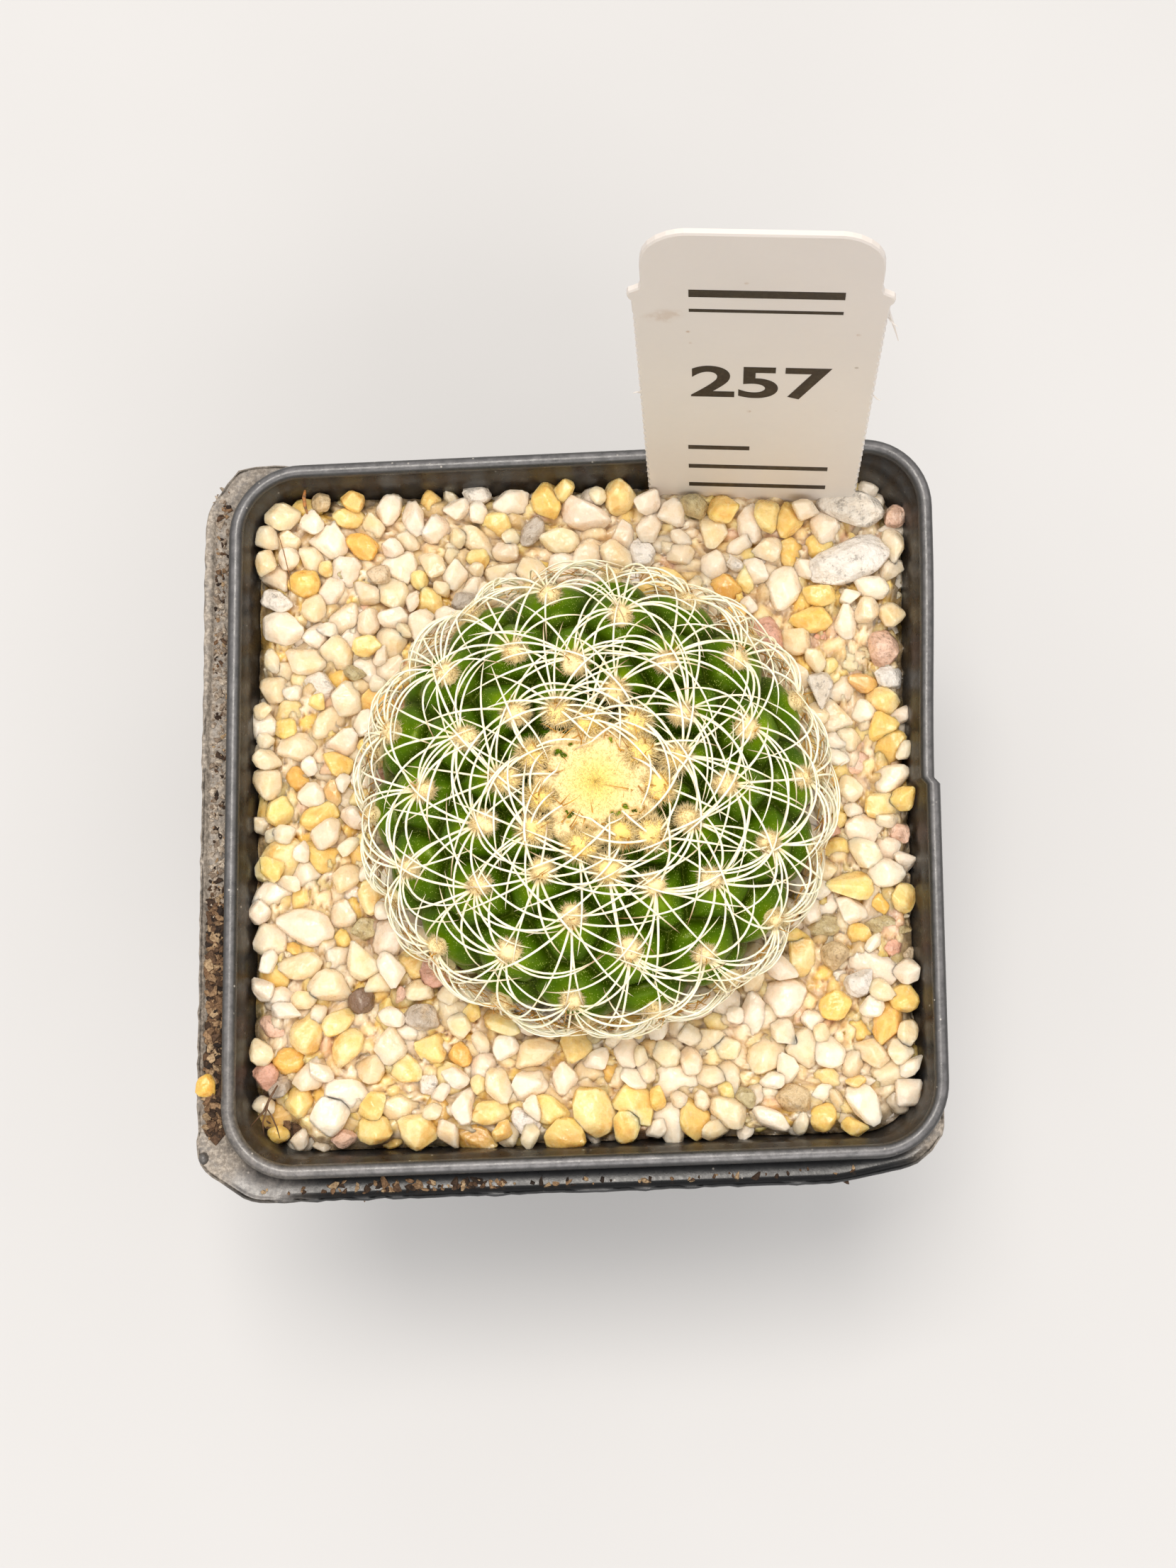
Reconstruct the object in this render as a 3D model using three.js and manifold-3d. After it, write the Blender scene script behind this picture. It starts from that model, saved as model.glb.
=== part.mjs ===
// A young disc-shaped cactus in its square nursery pot, with compost, quartz grit and a plant label.
// Millimetres, +Z up. The origin is the middle of the pot's flat underside.

import * as THREE from 'three';
import { mergeVertices } from 'three/addons/utils/BufferGeometryUtils.js';
import { ConvexGeometry } from 'three/addons/geometries/ConvexGeometry.js';
import Module from 'manifold-3d';

const wasm = await Module();
wasm.setup();

// Driving dimensions of the pot
const potHeight = 65;
const rimHalf = 34;             // middle of the rim bead to the middle of the pot
const baseHalf = 26;
const rimCorner = 6.3;          // corner radius along the bead
const baseCorner = 4.6;
const wall = 0.8;
const floorThickness = 1.2;
const beadRadius = 0.7;
const wallTopZ = 63.2;          // where the straight wall meets the bead
const cornerSteps = 4;
const drainRadius = 1.9;
const drainPlace = 15;
const flangeTopZ = 62.7;
const flangeThickness = 0.9;
const flangeLeft = 37.2;
const flangeFront = 36.9;
const flangeBack = 35.4;
const lipHeight = 0.7;
const lipWidth = 1.3;
const clearance = 0.3;

// The thin rim stands a little out of square: how far each corner has moved, x then y
const rimSkew = {
  frontLeft: [-0.25, -0.6], frontRight: [-0.8, 0.1], backRight: [0.55, 0.85], backLeft: [0.75, -0.7],
};
const skewStartZ = 20;

// Driving dimensions of the fill
const soilTopZ = 57;
const gritBedZ = 59.2;          // gaps between the stones
const gritTopZ = 60.8;          // tops of the lowest stones
const stoneRise = 1.0;
const stoneSpacing = 3.95;
const stoneJitter = 1.3;
const cornerSink = 2;             // the grit has run away from the back right corner
const cornerSinkReach = 13;
const stonePoints = 9;

// Driving dimensions of the plant: its smooth envelope touches the tips of the tubercles
const plantX = 1.25;
const plantY = 0;
const plantRadius = 21;
const equatorZ = 67;
const crownHeight = 9.3;
const crownPower = 2.3;
const underDepth = 14;
const underPower = 2.2;
const neckZ = 55;
const bodyFootZ = 58.4;
const rootTipZ = 30;
const valleyDepth = 1.9;
const valleyPower = 1.7;
const bodyColumns = 60;

// Areoles follow one spiral: number n stands at firstAngle + n * turn, at arc length areoleArc(n)
const firstAngle = 34;
const turn = -99.8;
const areoleCount = 66;
const arcMiddle = 15.7;
const arcSpan = 13.4;
const arcCentre = 30;
const arcWidth = 28.4;
const arcLast = 50;
const arcStep = 0.33;

// Driving dimensions of the wool and spines
const padRadius = 1.15;
const padHeight = 0.9;
const spineRadius = 0.16;
const spineLift = 0.65;
const spineArch = 1.0;
const spineLength = 8.2;
const spineFloorZ = 62.4;       // the lowest spines lie over the grit
const crownWoolRadius = 4.6;
const crownWoolRise = 1.3;

// Driving dimensions of the label
const labelThickness = 0.6;
const labelGritWidth = 20.5;
const labelShoulderWidth = 21.3;
const labelTabWidth = 22;
const labelHeadWidth = 19.6;
const labelExposed = 50.5;
const labelShoulderAt = 40.5;
const labelBuried = 47;
const labelFootTaper = 30;
const labelCornerIn = 2.5;
const labelCornerDown = 3.2;
const labelBase = [17.7, 31.05, 60.8];
const labelLeanBack = 7;
const labelLeanLeft = 3;
const labelYaw = -4.5;

const rad = THREE.MathUtils.degToRad;

// A small seeded generator, so that every build draws the same numbers
function seeded(seed) {
  let state = seed;
  return () => {
    state = (state + 0x6d2b79f5) | 0;
    let t = Math.imul(state ^ (state >>> 15), 1 | state);
    t = (t + Math.imul(t ^ (t >>> 7), 61 | t)) ^ t;
    return ((t ^ (t >>> 14)) >>> 0) / 4294967296;
  };
}

// Geometry helpers

// A closed three.js geometry as a solid, with its faces turned outward
function solid(geometry) {
  const bare = geometry.clone();
  bare.deleteAttribute('normal');
  bare.deleteAttribute('uv');
  const merged = mergeVertices(bare, 1e-4);
  const position = merged.getAttribute('position').array;
  const index = merged.getIndex().array;
  const kept = [];
  let volume = 0;
  const a = new THREE.Vector3();
  const b = new THREE.Vector3();
  const c = new THREE.Vector3();
  for (let i = 0; i < index.length; i += 3) {
    const [p, q, r] = [index[i], index[i + 1], index[i + 2]];
    if (p === q || q === r || r === p) continue;
    kept.push(p, q, r);
    a.fromArray(position, 3 * p);
    b.fromArray(position, 3 * q);
    c.fromArray(position, 3 * r);
    volume += a.dot(b.cross(c));
  }
  if (volume < 0) {
    for (let i = 0; i < kept.length; i += 3) {
      [kept[i + 1], kept[i + 2]] = [kept[i + 2], kept[i + 1]];
    }
  }
  return new wasm.Manifold(new wasm.Mesh({
    numProp: 3, vertProperties: new Float32Array(position), triVerts: new Uint32Array(kept),
  }));
}

function join(solids) {
  return wasm.Manifold.union(solids);
}

// The largest connected body of a solid: loose scraps are dropped
function largest(body) {
  const bodies = body.decompose();
  return bodies.reduce((best, next) => (next.volume() > best.volume() ? next : best));
}

function toGeometry(body) {
  const mesh = body.getMesh();
  const geometry = new THREE.BufferGeometry();
  geometry.setAttribute('position', new THREE.BufferAttribute(new Float32Array(mesh.vertProperties), 3));
  geometry.setIndex(new THREE.BufferAttribute(new Uint32Array(mesh.triVerts), 1));
  geometry.computeVertexNormals();
  return geometry;
}

// A closed skin over rings with equal numbers of points, listed from its foot to its end
function loft(rings) {
  const count = rings[0].length;
  const positions = rings.flat().flatMap((p) => [p.x, p.y, p.z]);
  const index = [];
  for (let i = 0; i + 1 < rings.length; i += 1) {
    for (let j = 0; j < count; j += 1) {
      const k = (j + 1) % count;
      const [a, b, c, d] = [i * count + j, i * count + k, (i + 1) * count + k, (i + 1) * count + j];
      index.push(a, b, c, a, c, d);
    }
  }
  const ends = [[rings[0], 0, true], [rings.at(-1), (rings.length - 1) * count, false]];
  for (const [ring, start, flip] of ends) {
    const middle = ring.reduce((sum, p) => sum.add(p), new THREE.Vector3()).divideScalar(count);
    const centre = positions.length / 3;
    positions.push(middle.x, middle.y, middle.z);
    for (let j = 0; j < count; j += 1) {
      const k = (j + 1) % count;
      index.push(centre, start + (flip ? k : j), start + (flip ? j : k));
    }
  }
  const geometry = new THREE.BufferGeometry();
  geometry.setAttribute('position', new THREE.Float32BufferAttribute(positions, 3));
  geometry.setIndex(index);
  return geometry;
}

function squareRing(half, corner, z) {
  const points = [];
  for (let side = 0; side < 4; side += 1) {
    const middle = rad(45 + 90 * side);
    const cx = Math.sign(Math.cos(middle)) * (half - corner);
    const cy = Math.sign(Math.sin(middle)) * (half - corner);
    for (let i = 0; i <= cornerSteps; i += 1) {
      const angle = middle + rad(-45 + (90 * i) / cornerSteps);
      points.push(new THREE.Vector3(cx + corner * Math.cos(angle), cy + corner * Math.sin(angle), z));
    }
  }
  return points;
}

// Moves points near the rim by the skew of its corners
function skewed(geometry) {
  const position = geometry.getAttribute('position');
  for (let i = 0; i < position.count; i += 1) {
    const x = position.getX(i);
    const y = position.getY(i);
    const lift = THREE.MathUtils.clamp((position.getZ(i) - skewStartZ) / (potHeight - skewStartZ), 0, 1);
    const u = THREE.MathUtils.clamp(0.5 + x / (2 * rimHalf), 0, 1);
    const v = THREE.MathUtils.clamp(0.5 + y / (2 * rimHalf), 0, 1);
    const shift = [0, 1].map((axis) => (
      (1 - u) * (1 - v) * rimSkew.frontLeft[axis] + u * (1 - v) * rimSkew.frontRight[axis]
      + u * v * rimSkew.backRight[axis] + (1 - u) * v * rimSkew.backLeft[axis]
    ));
    position.setXY(i, x + lift * shift[0], y + lift * shift[1]);
  }
  return geometry;
}

// Pot

const wallOuterHalf = rimHalf - 0.3;

function wallShare(z) {
  return THREE.MathUtils.clamp(z / wallTopZ, 0, 1);
}

function outerHalf(z) {
  return THREE.MathUtils.lerp(baseHalf, wallOuterHalf, wallShare(z));
}

function cornerAt(z) {
  return THREE.MathUtils.lerp(baseCorner, rimCorner, wallShare(z));
}

// The space inside the walls between two heights, drawn in by a margin. Its rings are those of the
// wall's inner face, in the same order, so that the skewed faces lie parallel.
function cavity(bottomZ, topZ, margin) {
  const inside = solid(skewed(loft([potHeight, wallTopZ, skewStartZ, floorThickness]
    .map((z) => squareRing(outerHalf(z) - wall - margin, cornerAt(z) - wall - margin, z)))));
  const slab = new THREE.BoxGeometry(3 * rimHalf, 3 * rimHalf, topZ - bottomZ)
    .translate(0, 0, (topZ + bottomZ) / 2);
  return inside.intersect(solid(slab));
}

function potShell() {
  const beadZ = potHeight - beadRadius;
  const rings = [
    squareRing(baseHalf - 0.8, baseCorner - 0.8, 0),
    squareRing(outerHalf(0.8), cornerAt(0.8), 0.8),
    squareRing(outerHalf(skewStartZ), cornerAt(skewStartZ), skewStartZ),
    squareRing(outerHalf(wallTopZ), cornerAt(wallTopZ), wallTopZ),
  ];
  for (const angle of [-15, 35, 90, 145]) {
    const out = beadRadius * Math.cos(rad(angle));
    rings.push(squareRing(rimHalf + out, rimCorner + out, beadZ + beadRadius * Math.sin(rad(angle))));
  }
  for (const z of [wallTopZ, skewStartZ, floorThickness]) {
    rings.push(squareRing(outerHalf(z) - wall, cornerAt(z) - wall, z));
  }
  return solid(loft(rings));
}

function plate(points, bottomZ, height) {
  const shape = new THREE.Shape(points.map(([x, y]) => new THREE.Vector2(x, y)));
  const geometry = new THREE.ExtrudeGeometry(shape, { depth: height, bevelEnabled: false });
  return solid(geometry.translate(0, 0, bottomZ));
}

// The flange left where the pot was cut from its tray: broad on the left and at the front,
// clipped at two corners, and running out along the back and at the front right corner
function flange() {
  const outer = [
    [-26, rimHalf + 0.3], [-29.6, flangeBack], [-34.2, flangeBack - 0.3], [-flangeLeft, 30.6],
    [-flangeLeft, -33.3], [-32, -flangeFront], [24, -flangeFront], [31.7, -35.5], [34.4, -32.8],
    [34.4, -28.5],
  ];
  const inside = [[22, -22], [-22, 22]];
  const lip = [
    ...outer.slice(3, 7),
    [24, lipWidth - flangeFront], [-31.4, lipWidth - flangeFront],
    [lipWidth - flangeLeft, -32.6], [lipWidth - flangeLeft, 30.6],
  ];
  const ledge = plate([...outer, ...inside], flangeTopZ - flangeThickness, flangeThickness);
  return join([ledge, plate(lip, flangeTopZ - 0.3, lipHeight + 0.3)]);
}

function pot() {
  const inner = solid(loft([floorThickness, wallTopZ].map((z) => (
    squareRing(outerHalf(z) - wall, cornerAt(z) - wall, z)))));
  const drains = [[1, 1], [-1, 1], [-1, -1], [1, -1]].map(([sx, sy]) => solid(
    new THREE.CylinderGeometry(drainRadius, drainRadius, 4, 12)
      .rotateX(Math.PI / 2).translate(sx * drainPlace, sy * drainPlace, 0),
  ));
  const body = join([potShell(), flange().subtract(inner)]).subtract(join(drains));
  return solid(skewed(toGeometry(body)));
}

// Plant envelope

// Points down the envelope from the crown to the neck: radius, height and arc length
const meridian = (() => {
  const points = [];
  for (let i = 0; i <= 200; i += 1) {
    const angle = (Math.PI / 2) * (i / 200);
    points.push([plantRadius * Math.sin(angle) ** (2 / crownPower),
      equatorZ + crownHeight * Math.max(Math.cos(angle), 0) ** (2 / crownPower)]);
  }
  for (let i = 1; i <= 200; i += 1) {
    const angle = (Math.PI / 2) * (1 - i / 200);
    const z = equatorZ - underDepth * Math.cos(angle) ** (2 / underPower);
    if (z < neckZ) break;
    points.push([plantRadius * Math.sin(angle) ** (2 / underPower), z]);
  }
  let arc = 0;
  return points.map(([r, z], i) => {
    if (i > 0) arc += Math.hypot(r - points[i - 1][0], z - points[i - 1][1]);
    return { r, z, arc };
  });
})();

function profileAt(arc) {
  let i = 1;
  while (i < meridian.length - 1 && meridian[i].arc < arc) i += 1;
  const [a, b] = [meridian[i - 1], meridian[i]];
  const t = (arc - a.arc) / (b.arc - a.arc);
  return { r: a.r + t * (b.r - a.r), z: a.z + t * (b.z - a.z) };
}

// A point over the envelope: arc length from the crown, compass angle and height above the skin
function onPlant(arc, angle, lift) {
  const here = profileAt(arc);
  const near = profileAt(Math.max(arc - 0.2, 0));
  const far = profileAt(arc + 0.2);
  const along = new THREE.Vector2(far.r - near.r, far.z - near.z).normalize();
  const r = here.r - lift * along.y;
  return new THREE.Vector3(
    plantX + r * Math.cos(angle), plantY + r * Math.sin(angle), here.z + lift * along.x,
  );
}

function areoleArc(n) {
  const inner = (m) => arcMiddle + arcSpan * Math.tanh((m - arcCentre) / arcWidth);
  return n < arcLast ? inner(n) : inner(arcLast) + (n - arcLast) * arcStep;
}

function areoleAngle(n) {
  return rad(firstAngle + n * turn);
}

// Plant body

// Depth of the valley at a point, 0 on a tubercle's tip and 1 on the line between two tubercles
function valley(point, tips) {
  let first = Infinity;
  let second = Infinity;
  for (const tip of tips) {
    const d = tip.distanceTo(point);
    if (d < first) {
      second = first;
      first = d;
    } else if (d < second) {
      second = d;
    }
  }
  return (first / second) ** valleyPower;
}

// A turned solid from radius and height pairs that start and end on the axis
function turned(profile, segments) {
  const points = profile.map(([r, z]) => new THREE.Vector2(r, z));
  return solid(new THREE.LatheGeometry(points, segments).rotateX(Math.PI / 2).translate(plantX, plantY, 0));
}

function underProfile(margin) {
  const rows = meridian.filter((row, i) => row.z < equatorZ + 0.01 && i % 20 === 0);
  const skin = rows.map((row) => [row.r + margin, row.z]);
  return [[0, rootTipZ - margin], [1.4 + margin, rootTipZ - margin], [3 + margin, 47 - margin],
    [9.5 + margin, 53 - margin], ...skin.reverse()];
}

function cactusBody() {
  const tips = [];
  for (let n = -14; n <= areoleCount + 10; n += 1) tips.push(onPlant(areoleArc(n), areoleAngle(n), 0));
  const arcs = [1.6, 3.4, 4.8];
  for (let arc = 6; arc < 30; arc += 1.2) arcs.push(arc);
  arcs.push(31.8);
  const footArc = meridian.find((row) => row.z < bodyFootZ).arc;
  arcs.push(footArc);
  const rings = arcs.map((arc) => {
    const ring = [];
    for (let j = 0; j < bodyColumns; j += 1) {
      const angle = (2 * Math.PI * j) / bodyColumns;
      const depth = valleyDepth * THREE.MathUtils.smoothstep(arc, 3, 10) * (arc < 31 ? 1 : 0.5);
      ring.push(onPlant(arc, angle, -depth * valley(onPlant(arc, angle, 0), tips)));
    }
    return ring;
  });
  const root = turned([[0, rootTipZ], [1.4, rootTipZ], [3, 47], [9.5, 53], [14, 57], [14, 60], [0, 60]], 20);
  return join([solid(loft(rings.reverse())), root]);
}

// Wool and spines

// A three-sided spine along its points, thick at the root and ending in a point
function spine(points, radius) {
  const rings = points.slice(0, -1).map((point, i) => {
    const along = points[i + 1].clone().sub(i > 0 ? points[i - 1] : point).normalize();
    const side = new THREE.Vector3(0, 0, 1).cross(along).normalize();
    const up = along.clone().cross(side);
    const width = radius * (1 - 0.15 * i);
    return [0, 1, 2].map((corner) => {
      const angle = rad(90 + 120 * corner);
      return point.clone().addScaledVector(side, width * Math.cos(angle))
        .addScaledVector(up, width * Math.sin(angle));
    });
  });
  const positions = [...rings.flat(), points.at(-1)].flatMap((p) => [p.x, p.y, p.z]);
  const index = [0, 2, 1];
  for (let i = 0; i + 1 < rings.length; i += 1) {
    for (let j = 0; j < 3; j += 1) {
      const k = (j + 1) % 3;
      index.push(3 * i + j, 3 * i + k, 3 * i + 3 + k, 3 * i + j, 3 * i + 3 + k, 3 * i + 3 + j);
    }
  }
  const last = 3 * (rings.length - 1);
  for (let j = 0; j < 3; j += 1) index.push(last + j, last + ((j + 1) % 3), last + 3);
  const geometry = new THREE.BufferGeometry();
  geometry.setAttribute('position', new THREE.Float32BufferAttribute(positions, 3));
  geometry.setIndex(index);
  return solid(geometry);
}

// An arch over the skin from one arc and angle to another
function archPoints(from, to, arch, tipLift, steps) {
  const points = [];
  for (let i = 0; i <= steps; i += 1) {
    const t = i / steps;
    const lift = THREE.MathUtils.lerp(spineLift, tipLift, t) + 4 * arch * t * (1 - t);
    const point = onPlant(from.arc + t * (to.arc - from.arc), from.angle + t * (to.angle - from.angle), lift);
    point.z = Math.max(point.z, spineFloorZ + 0.4 * t);
    points.push(point);
  }
  return points;
}

// The short way round from one areole's angle to another's
function angleBetween(from, to) {
  return Math.atan2(Math.sin(to - from), Math.cos(to - from));
}

function woolPad(n, grow) {
  const arc = areoleArc(n);
  const radius = padRadius * THREE.MathUtils.lerp(0.8, 1, THREE.MathUtils.smoothstep(n, 0, 20)) + grow;
  const centre = onPlant(arc, areoleAngle(n), clearance + padHeight / 2);
  const outward = onPlant(arc, areoleAngle(n), 1).sub(onPlant(arc, areoleAngle(n), 0)).normalize();
  const tilt = new THREE.Quaternion().setFromUnitVectors(new THREE.Vector3(0, 1, 0), outward);
  return solid(new THREE.SphereGeometry(1, 6, 2).scale(radius, padHeight / 2 + grow, radius)
    .applyQuaternion(tilt).translate(centre.x, centre.y, centre.z));
}

// Spines of one areole: some reach to the wool of the neighbours seven and eleven numbers on,
// and the free ones spread to the sides and down the flank
function areoleSpines(n, random) {
  const from = { arc: areoleArc(n), angle: areoleAngle(n) };
  const spines = [];
  for (const step of n % 2 ? [7] : [7, 11]) {
    if (n + step > areoleCount) continue;
    const arc = areoleArc(n + step);
    const angle = from.angle + angleBetween(from.angle, areoleAngle(n + step));
    spines.push(spine(archPoints(from, { arc, angle }, spineArch, spineLift, 2), spineRadius));
  }
  const spread = n < 12 ? [60, -75] : [92, -92];
  if (n > 56) spread.pop();
  if (n > 12 && n % 4 === 1) spread.push(n % 8 === 1 ? 138 : -138);
  if (n > 24 && n % 4 === 3) spread.push(8);
  for (const direction of spread) {
    const heading = rad(direction + 16 * (random() - 0.5));
    const length = spineLength * (0.7 + 0.3 * Math.min(1, n / 20)) * (0.88 + 0.24 * random());
    const arc = Math.min(from.arc + length * Math.cos(heading), areoleArc(areoleCount) + 1.5);
    const radius = Math.max(profileAt((from.arc + arc) / 2).r, 4);
    const angle = from.angle + (length * Math.sin(heading)) / radius;
    const arch = spineArch * (0.8 + 0.5 * random());
    const steps = n < 12 || n > 50 ? 2 : 3;
    spines.push(spine(archPoints(from, { arc, angle }, arch, 0.9 + 0.6 * random(), steps), spineRadius));
  }
  return spines;
}

function spineNet() {
  const random = seeded(7);
  const pieces = [];
  for (let n = 0; n <= areoleCount; n += 1) pieces.push(woolPad(n, 0), ...areoleSpines(n, random));
  return largest(join(pieces));
}

function crownWool() {
  const lumps = [new THREE.SphereGeometry(1, 10, 5)
    .scale(crownWoolRadius, crownWoolRise + 0.6, crownWoolRadius)
    .rotateX(Math.PI / 2).translate(plantX, plantY, equatorZ + crownHeight - 0.2)];
  for (let n = -1; n > -9; n -= 1) {
    const at = onPlant(areoleArc(n), areoleAngle(n), 0.6);
    lumps.push(new THREE.IcosahedronGeometry(1.05, 0).translate(at.x, at.y, at.z));
  }
  const skin = meridian.filter((row, i) => row.arc < 9 && i % 12 === 0)
    .map((row) => [row.r, row.z + clearance]);
  const under = turned([...skin, [skin.at(-1)[0], 60], [0, 60]].reverse(), 16);
  const pads = [];
  for (let n = 0; n < 9; n += 1) pads.push(woolPad(n, clearance));
  return largest(join(lumps.map(solid)).subtract(under).subtract(join(pads)));
}

// Label

const labelPlace = (() => {
  const up = new THREE.Vector3(-Math.tan(rad(labelLeanLeft)), Math.tan(rad(labelLeanBack)), 1).normalize();
  const across = new THREE.Vector3(Math.cos(rad(labelYaw)), Math.sin(rad(labelYaw)), 0);
  across.addScaledVector(up, -across.dot(up)).normalize();
  return new THREE.Matrix4().makeBasis(across, up, across.clone().cross(up)).setPosition(...labelBase);
})();

// The outline runs up the right side from the pointed foot and comes back down the left
function labelOutline() {
  const right = [
    [1.2, -labelBuried], [labelGritWidth / 2 - 0.6, labelFootTaper - labelBuried],
    [labelGritWidth / 2, 0], [labelShoulderWidth / 2, labelShoulderAt - 1.2],
    [labelTabWidth / 2, labelShoulderAt - 0.2], [labelTabWidth / 2 - 0.3, labelShoulderAt + 0.3],
    [labelHeadWidth / 2, labelShoulderAt + 1],
    [labelHeadWidth / 2, labelExposed - labelCornerDown],
    [labelHeadWidth / 2 - 0.5 * labelCornerIn, labelExposed - 0.35 * labelCornerDown],
    [labelHeadWidth / 2 - labelCornerIn, labelExposed],
  ];
  const left = right.map(([x, y]) => [-x, y]).reverse();
  return new THREE.Shape([...right, ...left].map(([x, y]) => new THREE.Vector2(x, y)));
}

function label() {
  const geometry = new THREE.ExtrudeGeometry(labelOutline(), { depth: labelThickness, bevelEnabled: false });
  return solid(geometry.translate(0, 0, -labelThickness / 2).applyMatrix4(labelPlace));
}

function labelSlot() {
  const width = labelShoulderWidth + 2 * clearance;
  const depth = labelThickness + 2 * clearance;
  const length = labelBuried + 1;
  return solid(new THREE.BoxGeometry(width, length + 8, depth).translate(0, 4 - length / 2, 0)
    .applyMatrix4(labelPlace));
}

// Fill

const plantHole = turned([...underProfile(clearance + 0.12), [0, equatorZ]], 28);

function soil() {
  return cavity(floorThickness + clearance, soilTopZ, clearance).subtract(plantHole).subtract(labelSlot());
}

// A small faceted stone on its own
function stone(x, y, z, radius, random) {
  const points = [];
  for (let i = 0; i < stonePoints; i += 1) {
    const height = 1 - (2 * (i + 0.5)) / stonePoints;
    const around = i * 2.4 + 0.7 * random();
    const level = Math.sqrt(1 - height * height);
    const size = radius * (0.85 + 0.3 * random());
    points.push(new THREE.Vector3(level * Math.cos(around), level * Math.sin(around), height)
      .multiplyScalar(size));
  }
  return solid(new ConvexGeometry(points).translate(x, y, z));
}

// Closes a sheet of triangles with a wall round its edge and a flat underside
function withUnderside(points, faces, bottomZ) {
  const open = new Map();
  for (const [a, b, c] of faces) {
    for (const [from, to] of [[a, b], [b, c], [c, a]]) {
      if (!open.delete(`${to} ${from}`)) open.set(`${from} ${to}`, [from, to]);
    }
  }
  const below = (i) => i + points.length;
  const positions = [...points, ...points.map((p) => new THREE.Vector3(p.x, p.y, bottomZ)),
    new THREE.Vector3(0, 0, bottomZ)];
  const index = faces.flat();
  for (const [from, to] of open.values()) {
    index.push(to, from, below(from), to, below(from), below(to));
    index.push(positions.length - 1, below(to), below(from));
  }
  const geometry = new THREE.BufferGeometry();
  const numbers = positions.flatMap((p) => [p.x, p.y, p.z]);
  geometry.setAttribute('position', new THREE.Float32BufferAttribute(numbers, 3));
  geometry.setIndex(index);
  return solid(geometry);
}

// How far the grit has run down at a point
function sunk(x, y) {
  const distance = Math.hypot(x - rimHalf, y - rimHalf);
  return cornerSink * THREE.MathUtils.smoothstep(cornerSinkReach - distance, 0, cornerSinkReach);
}

// Grit in relief: stones on a jittered triangular lattice, each a faceted top over six shared
// low corners
function gravel() {
  const random = seeded(21);
  const rowStep = (stoneSpacing * Math.sqrt(3)) / 2;
  const columns = Math.ceil((2 * rimHalf + 6) / stoneSpacing);
  const rows = Math.ceil((2 * rimHalf + 6) / rowStep);
  const jitter = () => stoneJitter * (random() - 0.5);
  const middles = [];
  for (let row = 0; row <= rows; row += 1) {
    for (let column = 0; column <= columns; column += 1) {
      const x = (column - columns / 2 + 0.5 * (row % 2)) * stoneSpacing;
      const y = (row - rows / 2) * rowStep;
      middles.push(new THREE.Vector3(x + jitter(), y + jitter(), 0));
    }
  }
  const at = (row, column) => row * (columns + 1) + column;
  const points = [];
  const corners = new Map();
  const corner = (a, b, c) => {
    const key = [a, b, c].sort((p, q) => p - q).join(' ');
    if (!corners.has(key)) {
      const point = middles[a].clone().add(middles[b]).add(middles[c]).divideScalar(3);
      point.z = gritBedZ + 0.5 * random() - sunk(point.x, point.y);
      corners.set(key, points.push(point) - 1);
    }
    return corners.get(key);
  };
  const faces = [];
  for (let row = 1; row < rows; row += 1) {
    const shift = row % 2;
    for (let column = 1; column < columns; column += 1) {
      const around = [at(row, column + 1), at(row + 1, column + shift), at(row + 1, column + shift - 1),
        at(row, column - 1), at(row - 1, column + shift - 1), at(row - 1, column + shift)];
      const self = at(row, column);
      const ring = around.map((next, i) => corner(self, next, around[(i + 1) % 6]));
      const level = gritTopZ + stoneRise * random() - sunk(middles[self].x, middles[self].y);
      const turnBy = random();
      const top = [0, 1, 2].map((i) => {
        const toward = points[ring[2 * i]].clone().lerp(points[ring[2 * i + 1]], turnBy);
        const point = middles[self].clone().lerp(toward, 0.45 + 0.25 * random());
        point.z = level + 0.7 * (random() - 0.5);
        return points.push(point) - 1;
      });
      faces.push(top);
      for (let i = 0; i < 3; i += 1) {
        const [a, b, c] = [ring[2 * i], ring[2 * i + 1], ring[(2 * i + 2) % 6]];
        faces.push([a, b, top[i]], [b, c, top[i]], [c, top[(i + 1) % 3], top[i]]);
      }
    }
  }
  const region = cavity(soilTopZ + clearance, 63, clearance).subtract(plantHole).subtract(labelSlot());
  return largest(withUnderside(points, faces, soilTopZ).intersect(region));
}

function strayStone() {
  return stone(-36.45, -26.4, 64.45, 0.8, seeded(5));
}

// Materials

function finish(color, roughness, metalness = 0) {
  return new THREE.MeshStandardMaterial({ color, roughness, metalness, flatShading: true });
}

const materials = {
  plastic: finish(0x2b2c2e, 0.55),
  compost: finish(0x2a1c12, 1),
  quartz: finish(0xdccfae, 0.45),
  amberStone: finish(0xd0902e, 0.5),
  skin: finish(0x1f4a1c, 0.35),
  spine: finish(0xefe6c8, 0.5),
  wool: finish(0xeadc9e, 0.95),
  label: finish(0xdcd6cd, 0.4),
};

const part = new THREE.Group();

function addPiece(name, body, material) {
  const mesh = new THREE.Mesh(toGeometry(body), material);
  mesh.name = name;
  part.add(mesh);
}

addPiece('pot', pot(), materials.plastic);
addPiece('soil', soil(), materials.compost);
addPiece('gravel_topping', gravel(), materials.quartz);
addPiece('stray_stone', strayStone(), materials.amberStone);
addPiece('cactus_body', cactusBody(), materials.skin);
addPiece('spines', spineNet(), materials.spine);
addPiece('crown_wool', crownWool(), materials.wool);
addPiece('plant_label', label(), materials.label);

export default part;
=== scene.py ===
# The looks of a young disc-shaped cactus in its square nursery pot. Places are worked out in
# millimetres in the model's frame, and become metres when a mesh is made.

import itertools
import math

import bmesh
import bpy
import numpy as np
from mathutils import Matrix, Vector
from mathutils.geometry import tessellate_polygon


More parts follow.
